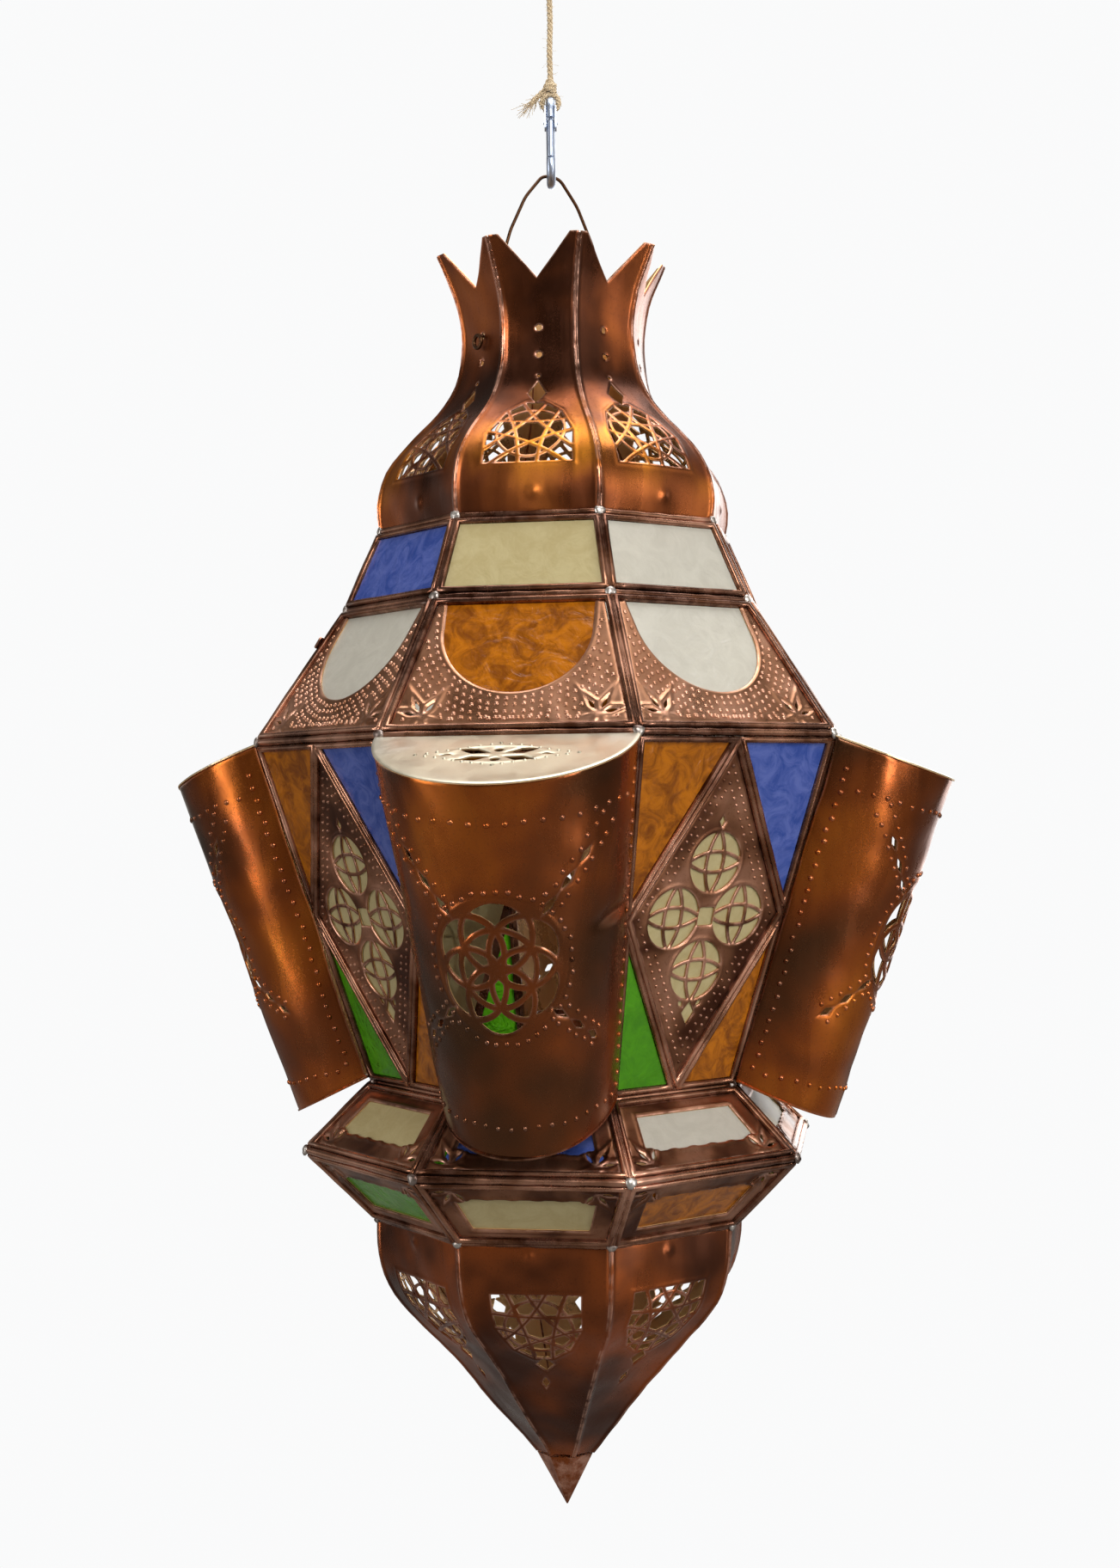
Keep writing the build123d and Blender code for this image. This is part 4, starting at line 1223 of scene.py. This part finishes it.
def beads(band, index):
    """Rolled copper beads round each opening of a facet; a lozenge facet has five."""
    side = Facet(band, index)
    corners = side.corners()
    openings = [corners]
    if band == BODY and index % 2:
        rhomb = lozenge_outline(side)
        openings = [rhomb] + [np.array([corners[k], rhomb[k], rhomb[k - 1]]) for k in range(4)]
    radius = sizes().bead / MM
    parts = []
    for opening in openings:
        outline = inset(opening, CAME_WIDTH / 2)
        line = side.place(outline[:, 0], outline[:, 1], np.full(len(outline), 1.05))
        parts.append(tube(line, radius, closed=True, out=side.out, sway=0.08, step=7.0))
        parts += [blob(corner + side.out * 0.25, radius * 1.18, side.out, index * 7 + k, 4, 8)
                  for k, corner in enumerate(line)]
    return parts


def seam_parts():
    """Rods along every ring and seam, and a lump of solder for each corner."""
    rods, lumps = [], []
    ways = [facing(k - 0.5) for k in range(SIDES)]
    upward = np.array([0, 0, 1.0])
    rings = (COLLAR_TOP, COLLAR_FOOT, WIDEST, WAIST, SKIRT_RIM, RIM_FOOT)
    for n, (radius, height) in enumerate(rings):
        corners = [radius * way + height * upward for way in ways]
        for k, (corner, way) in enumerate(zip(corners, ways)):
            out = way + 0.1 * upward
            lumps.append(blob(corner + out * 0.6, 2.7, out, n * 11 + k * 3.3))
        rods.append(tube(corners, 1.7, closed=True, out=upward, sway=0.12, step=6.0))
    for band in BANDS:
        for way in ways:
            ends = [radius * way + height * upward for radius, height in band]
            rods.append(tube(ends, 1.15, out=way + 0.05 * upward, sway=0.15, step=5.0))
    return rods, lumps


# ------------------------------------------------ twine
def route_line(points):
    """Points along the smooth curve that a route's points control, in metres."""
    data = bpy.data.curves.new("route", "CURVE")
    data.dimensions = "3D"
    spline = data.splines.new("NURBS")
    spline.points.add(len(points) - 1)
    for target, point in zip(spline.points, points):
        target.co = (*point, 1.0)
    spline.order_u = 3
    spline.use_endpoint_u = True
    spline.resolution_u = 24
    holder = bpy.data.objects.new("route", data)
    mesh = bpy.data.meshes.new_from_object(holder)
    line = np.array([vertex.co[:] for vertex in mesh.vertices])
    bpy.data.objects.remove(holder)
    bpy.data.meshes.remove(mesh)
    return line


def strands(line, radius, lay, phase=0.0, closed=False):
    """Twisted strands round a line of points in millimetres."""
    gaps = np.linalg.norm(np.diff(line, axis=0), axis=1)
    along = np.concatenate([[0], np.cumsum(gaps)])
    steps = max(12, int(along[-1] / (lay / 14)))
    at = np.linspace(0, along[-1], steps)
    centre = np.stack([np.interp(at, along, line[:, k]) for k in range(3)], 1)
    side, lift = square_to(unit(np.gradient(centre, axis=0)), (0.12, 0.99, 0.05))
    parts = []
    ply = radius * 0.52
    turns = round(along[-1] / lay) if closed else along[-1] / lay
    for k in range(TWINE_PLIES):
        angle = phase + 2 * math.pi * (k / TWINE_PLIES + turns * at / along[-1])
        offset = ply * (np.cos(angle)[:, None] * side + np.sin(angle)[:, None] * lift)
        parts.append(tube(centre + offset, ply, segments=7, sway=0.06, step=WHOLE))
    return parts


def hairs(line, radius, count, reach, seed):
    """Loose fibres that stand off the twine."""
    draw = np.random.default_rng(seed)
    parts = []
    for _ in range(count):
        start = line[draw.integers(1, len(line) - 1)]
        way = unit(draw.normal(size=3))
        bend = draw.normal(size=3) * 0.4
        points = [start + way * radius * 0.6 + (way + bend * t) * reach * t
                  for t in np.linspace(0, 1, 4)]
        parts.append(tube(points, 0.07, segments=4, step=WHOLE))
    return parts


def circle_line(centre, radius, normal):
    """Points once round a circle."""
    side, up = square_to(unit(normal), (0.05, 0.03, 1.0))
    angle = np.linspace(0, 2 * math.pi, 48)[:, None]
    return np.asarray(centre) + radius * (np.cos(angle) * side + np.sin(angle) * up)


def knot_parts(centre, radius, seed):
    """A small overhand knot: turns of twine wound on each other."""
    parts = []
    for k, (tilt, turn, size) in enumerate(KNOT_TURNS):
        normal = (math.sin(tilt) * math.cos(turn), math.sin(tilt) * math.sin(turn), math.cos(tilt))
        middle = np.asarray(centre) + np.array([0, 0, (k - 1.5) * radius * 0.28])
        parts += strands(circle_line(middle, radius * size, normal), TWINE_D / 2 * 0.88, 7.0,
                         phase=seed + k, closed=True)
    return parts


def frayed_tail(start, way):
    """The knot's loose end: a short twisted length that opens into long fibres."""
    line = np.array([start + way * s * 12.0 + np.array([0, 0, -11.0]) * s ** 1.3
                     for s in np.linspace(0.1, 0.8, 6)])
    parts = strands(line, TWINE_D / 2 * 0.95, 7.0)
    draw = np.random.default_rng(11)
    for _ in range(60):
        root = line[-1 - draw.integers(0, 3)]
        fall = way * draw.uniform(0.1, 0.9) + np.array([0, 0, -1.0]) * draw.uniform(0.4, 1.0)
        fall = fall + draw.normal(size=3) * 0.25
        bend = draw.normal(size=3) * 0.25
        length = draw.uniform(3.5, 8.5)
        points = [root + (fall + bend * t) * length * t for t in np.linspace(0, 1, 5)]
        parts.append(tube(points, 0.12, segments=4, step=WHOLE))
    return parts


# ------------------------------------------------ operators
class LANTERN_OT_stage(bpy.types.Operator):
    """Add the camera, the pale floor and the soft studio light"""

    bl_idname = "lantern.stage"
    bl_label = "Stage"

    def execute(self, context):
        scene = context.scene
        data = bpy.data.cameras.new("camera")
        data.lens = CAMERA_LENS
        data.clip_start = 0.05
        camera = bpy.data.objects.new("camera", data)
        scene.collection.objects.link(camera)
        azimuth, pitch, roll = (math.radians(angle) for angle in CAMERA_ANGLES)
        away = Vector((math.sin(azimuth), -math.cos(azimuth), 0.0))
        back = away * math.cos(pitch) - Vector((0.0, 0.0, math.sin(pitch)))
        right = Vector((math.cos(azimuth), math.sin(azimuth), 0.0))
        up = back.cross(right)
        turn = Matrix((right * math.cos(roll) - up * math.sin(roll),
                       up * math.cos(roll) + right * math.sin(roll), back)).transposed()
        spot = away * CAMERA_DISTANCE + right * CAMERA_SHIFT + Vector((0.0, 0.0, CAMERA_HEIGHT))
        camera.matrix_world = Matrix.Translation(spot) @ turn.to_4x4()
        scene.camera = camera

        mesh = bpy.data.meshes.new("floor")
        level = CAD_BOX[0].z - FLOOR_DROP
        mesh.from_pydata([(x * FLOOR_REACH, y * FLOOR_REACH, level)
                          for x, y in ((-1, -1), (1, -1), (1, 1), (-1, 1))], [], [(0, 1, 2, 3)])
        floor = bpy.data.objects.new("floor", mesh)
        scene.collection.objects.link(floor)
        material, tree, shader = blank_material("floor")
        seen = tree.add("LightPath").outputs["Is Camera Ray"]
        tree.set(shader, Base_Color=tree.mix(seen, (0.22, 0.21, 0.20, 1.0), BLACK),
                 Emission_Color=tree.mix(seen, BLACK, colour("floor")),
                 Emission_Strength=1.0, Roughness=1.0, Specular_IOR_Level=0.0)
        mesh.materials.append(material)

        world = bpy.data.worlds.new("studio")
        scene.world = world
        world.use_nodes = True
        tree = Tree(world.node_tree)
        path = tree.add("LightPath").outputs
        seen = tree.math("MAXIMUM", path["Is Camera Ray"], path["Is Transmission Ray"])
        direction = tree.add("TexCoord").outputs["Generated"]
        patches = tree.ramp(tree.noise(direction, 1.3, 1.0, 0.5, 0.2), 0.44, 0.64)
        room = tree.mix(patches, (0.10, 0.088, 0.078, 1.0), (0.95, 0.92, 0.86, 1.0))
        tree.set(world.node_tree.nodes["Background"],
                 Color=tree.mix(seen, room, colour("floor")), Strength=1.0)

        middle = (CAD_BOX[0] + CAD_BOX[1]) / 2
        for name, offset, width, tall, power in LIGHTS:
            lamp = bpy.data.lights.new(name, "AREA")
            lamp.shape = "RECTANGLE"
            lamp.size = width
            lamp.size_y = tall
            lamp.energy = power
            holder = bpy.data.objects.new(name, lamp)
            scene.collection.objects.link(holder)
            holder.location = middle + Vector(offset)
            holder.rotation_euler = (-Vector(offset)).to_track_quat("-Z", "Y").to_euler()
        scene.view_settings.view_transform = "Standard"
        return {"FINISHED"}


class LANTERN_OT_twine(bpy.types.Operator):
    """Add the twine, its hanging loop and the frayed knot on the snap hook"""

    bl_idname = "lantern.twine"
    bl_label = "Twine"

    def execute(self, context):
        line = route_line(TWINE_ROUTE)
        route = line / MM
        radius = TWINE_D / 2
        facing_way = np.array([math.cos(HOOK_TURN), math.sin(HOOK_TURN), 0.0])
        eye = circle_line((0, 0, radius - 7.0), 7.0, -facing_way)
        around_hook = circle_line((0, 0, HOOK_TOP_Z), 4.0, facing_way)
        knot = np.array([0, 0, HOOK_TOP_Z + 7.6])
        twine, fuzz, top, tail = (
            make_piece(name, parts, fibre("jute"), "hanger", nodes, 0.0, angle)
            for name, parts, nodes, angle in (
                ("twine_strands", strands(route, radius, TWINE_LAY), ["twine"], 60),
                ("twine_fibres", hairs(route, radius, 40, 2.6, 3), (), 38),
                ("hanging_loop_knot", strands(eye, radius, TWINE_LAY, closed=True)
                 + knot_parts((0, 0, -15.0), 3.4, 0.4) + hairs(eye, radius, 16, 2.0, 5),
                 ["hanging_loop"], 60),
                ("hook_knot_tail", strands(around_hook, radius, 6.5, closed=True)
                 + knot_parts(knot, 3.6, 1.3) + frayed_tail(knot, -leftward(facing_way))
                 + hairs(around_hook, radius, 14, 2.0, 8), ["hook_knot"], 60)))
        return {"FINISHED"}


class LANTERN_OT_domes(bpy.types.Operator):
    """Add the sixteen pierced ogee sides of the crown and the foot"""

    bl_idname = "lantern.domes"
    bl_label = "Domes"

    def execute(self, context):
        for index in range(SIDES):
            for which, parts, finish in (("upper", upper_dome(index), dome_copper()),
                                         ("lower", lower_dome(index), foot_copper())):
                make_piece(f"{which}_dome_side_{index}", parts, finish, "lantern",
                           [f"{which}_dome_panel_{index}"])
        return {"FINISHED"}


class LANTERN_OT_shoulder(bpy.types.Operator):
    """Add the punched shoulder panels, one of them in the door"""

    bl_idname = "lantern.shoulder"
    bl_label = "Shoulder Panels"

    def execute(self, context):
        for index in range(SIDES):
            door = index == DOOR_FACET
            node = "door_panel" if door else f"shoulder_panel_{index}"
            make_piece(f"punched_{node}", shoulder_sheet(index), punched_copper(),
                       "door" if door else "lantern", [node], dent=0.0)
        return {"FINISHED"}


class LANTERN_OT_lozenges(bpy.types.Operator):
    """Add the pierced lozenge panels"""

    bl_idname = "lantern.lozenges"
    bl_label = "Lozenge Panels"

    def execute(self, context):
        for index in range(1, SIDES, 2):
            make_piece(f"pierced_lozenge_{index}", lozenge_sheet(index), embossed_copper(),
                       "lantern", [f"lozenge_panel_{index}"], dent=0.0)
        return {"FINISHED"}


class LANTERN_OT_bands(bpy.types.Operator):
    """Add the embossed skirt and under-rim panels"""

    bl_idname = "lantern.bands"
    bl_label = "Skirt and Under-rim Panels"

    def execute(self, context):
        for name, band, flip, node in (("embossed_skirt", SKIRT, 1, "skirt_panels"),
                                       ("embossed_under_rim", UNDER_RIM, -1, "under_rim_panels")):
            parts = [part for index in range(SIDES) for part in band_sheet(band, index, flip)]
            make_piece(name, parts, embossed_copper(), "lantern", [node],
                       dent=0.0)
        return {"FINISHED"}


class LANTERN_OT_bays(bpy.types.Operator):
    """Add the four pierced half-round bays and their tinned caps"""

    bl_idname = "lantern.bays"
    bl_label = "Bays"

    def execute(self, context):
        caps = []
        for index in range(0, SIDES, 2):
            make_piece(f"pierced_bay_{index}", bay_sheet(index), bay_copper(), "lantern",
                       [f"bay_shell_{index}"])
            caps += bay_cap(index)
        tin = copper("cap_tin", "tin", "tin", "solder", scale=22.0, glow=0.5, rubbed_and_highlit=0.0,
                     rough=0.05, bump=0.35)
        make_piece("tinned_caps", caps, tin, "lantern", ["bay_top_caps"], dent=0.3)
        return {"FINISHED"}


class LANTERN_OT_edging(bpy.types.Operator):
    """Add the rolled beads round every opening, and the solder along the seams"""

    bl_idname = "lantern.edging"
    bl_label = "Edging and Solder"

    def execute(self, context):
        fixed = [part for index in range(SIDES) for band in BANDS
                 if (band, index) != (SHOULDER, DOOR_FACET) for part in beads(band, index)]
        rods, lumps = seam_parts()
        solder = copper("solder", "copper_dark", "solder", "solder", scale=60.0, rubbed_and_highlit=0.1,
                        rough=0.05)
        for name, parts, finish, body, dent in (
                ("rolled_beads", fixed, edging_copper(), "lantern", 0.12),
                ("door_beads", beads(SHOULDER, DOOR_FACET), edging_copper(), "door", 0.12),
                ("seam_rods", rods, edging_copper(), "lantern", 0.1),
                ("corner_solder", lumps, solder, "lantern", 0.1)):
            make_piece(name, parts, finish, body, dent=dent, angle=60)
        return {"FINISHED"}


class LANTERN_OT_finishes(bpy.types.Operator):
    """Give every shown CAD part its glass, copper or steel"""

    bl_idname = "lantern.finishes"
    bl_label = "Finishes"

    def execute(self, context):
        amber = glass("amber_glass", "amber", (0.13, 0.030, 0.002), 0.20, scale=70.0,
                      tone_share=0.85)
        zinc = plain_metal("zinc", "steel", 0.28)
        finishes = {
            "glass_amber": amber,
            "door_glass": amber,
            "glass_blue": glass("blue_glass", "blue", (0.16, 0.21, 0.56), 0.25, scale=50.0,
                                tone_share=0.6),
            "glass_green": glass("green_glass", "green", (0.03, 0.16, 0.004), 0.40, scale=80.0),
            "glass_cream": glass("cream_glass", "cream", (0.38, 0.29, 0.12), 0.22, rough=0.4,
                                 bump=0.25),
            "glass_clear": glass("frosted_glass", "frost", (0.57, 0.54, 0.46), 0.50, rough=0.28,
                                 bump=0.3),
            "came_frames": edging_copper(),
            "door_frame": edging_copper(),
            "tip_cone": foot_copper(),
            "bay_foot_caps": bay_copper(),
            "bail_wire": plain_metal("bail_copper", "olive", 0.3),
            "snap_hook": zinc,
            "hook_gate": zinc,
            "gate_pin": zinc,
        }
        fittings = copper("fittings", "copper_dark", "copper_mid", "copper_pink", scale=30.0)
        for name, node in NODES.items():
            if not node.hide_render:
                node.data.materials.clear()
                node.data.materials.append(finishes.get(name, fittings))
        return {"FINISHED"}


STEPS = (LANTERN_OT_stage, LANTERN_OT_twine, LANTERN_OT_domes, LANTERN_OT_shoulder,
         LANTERN_OT_lozenges, LANTERN_OT_bands, LANTERN_OT_bays, LANTERN_OT_edging,
         LANTERN_OT_finishes)


class LANTERN_PT_panel(bpy.types.Panel):
    """Lists the lantern's build steps and settings"""

    bl_idname = "LANTERN_PT_panel"
    bl_label = "Candle Lantern"
    bl_space_type = "VIEW_3D"
    bl_region_type = "UI"
    bl_category = "Lantern"

    def draw(self, context):
        for step in STEPS:
            self.layout.operator(step.bl_idname)
        for settings in (context.scene.lantern_sizes, context.scene.lantern_colours):
            for name in settings.__annotations__:
                self.layout.prop(settings, name)


CLASSES = (LanternSizes, LanternColours, *STEPS, LANTERN_PT_panel)


def register():
    """Register the classes and their settings."""
    for cls in CLASSES:
        bpy.utils.register_class(cls)
    bpy.types.Scene.lantern_sizes = PointerProperty(type=LanternSizes)
    bpy.types.Scene.lantern_colours = PointerProperty(type=LanternColours)


def unregister():
    """Remove the settings and the classes."""
    del bpy.types.Scene.lantern_colours
    del bpy.types.Scene.lantern_sizes
    for cls in reversed(CLASSES):
        bpy.utils.unregister_class(cls)


def main():
    """Build the lantern's looks."""
    register()
    bpy.ops.lantern.stage()
    bpy.ops.lantern.twine()
    bpy.ops.lantern.domes()
    bpy.ops.lantern.shoulder()
    bpy.ops.lantern.lozenges()
    bpy.ops.lantern.bands()
    bpy.ops.lantern.bays()
    bpy.ops.lantern.edging()
    bpy.ops.lantern.finishes()


if __name__ == "__main__":
    main()
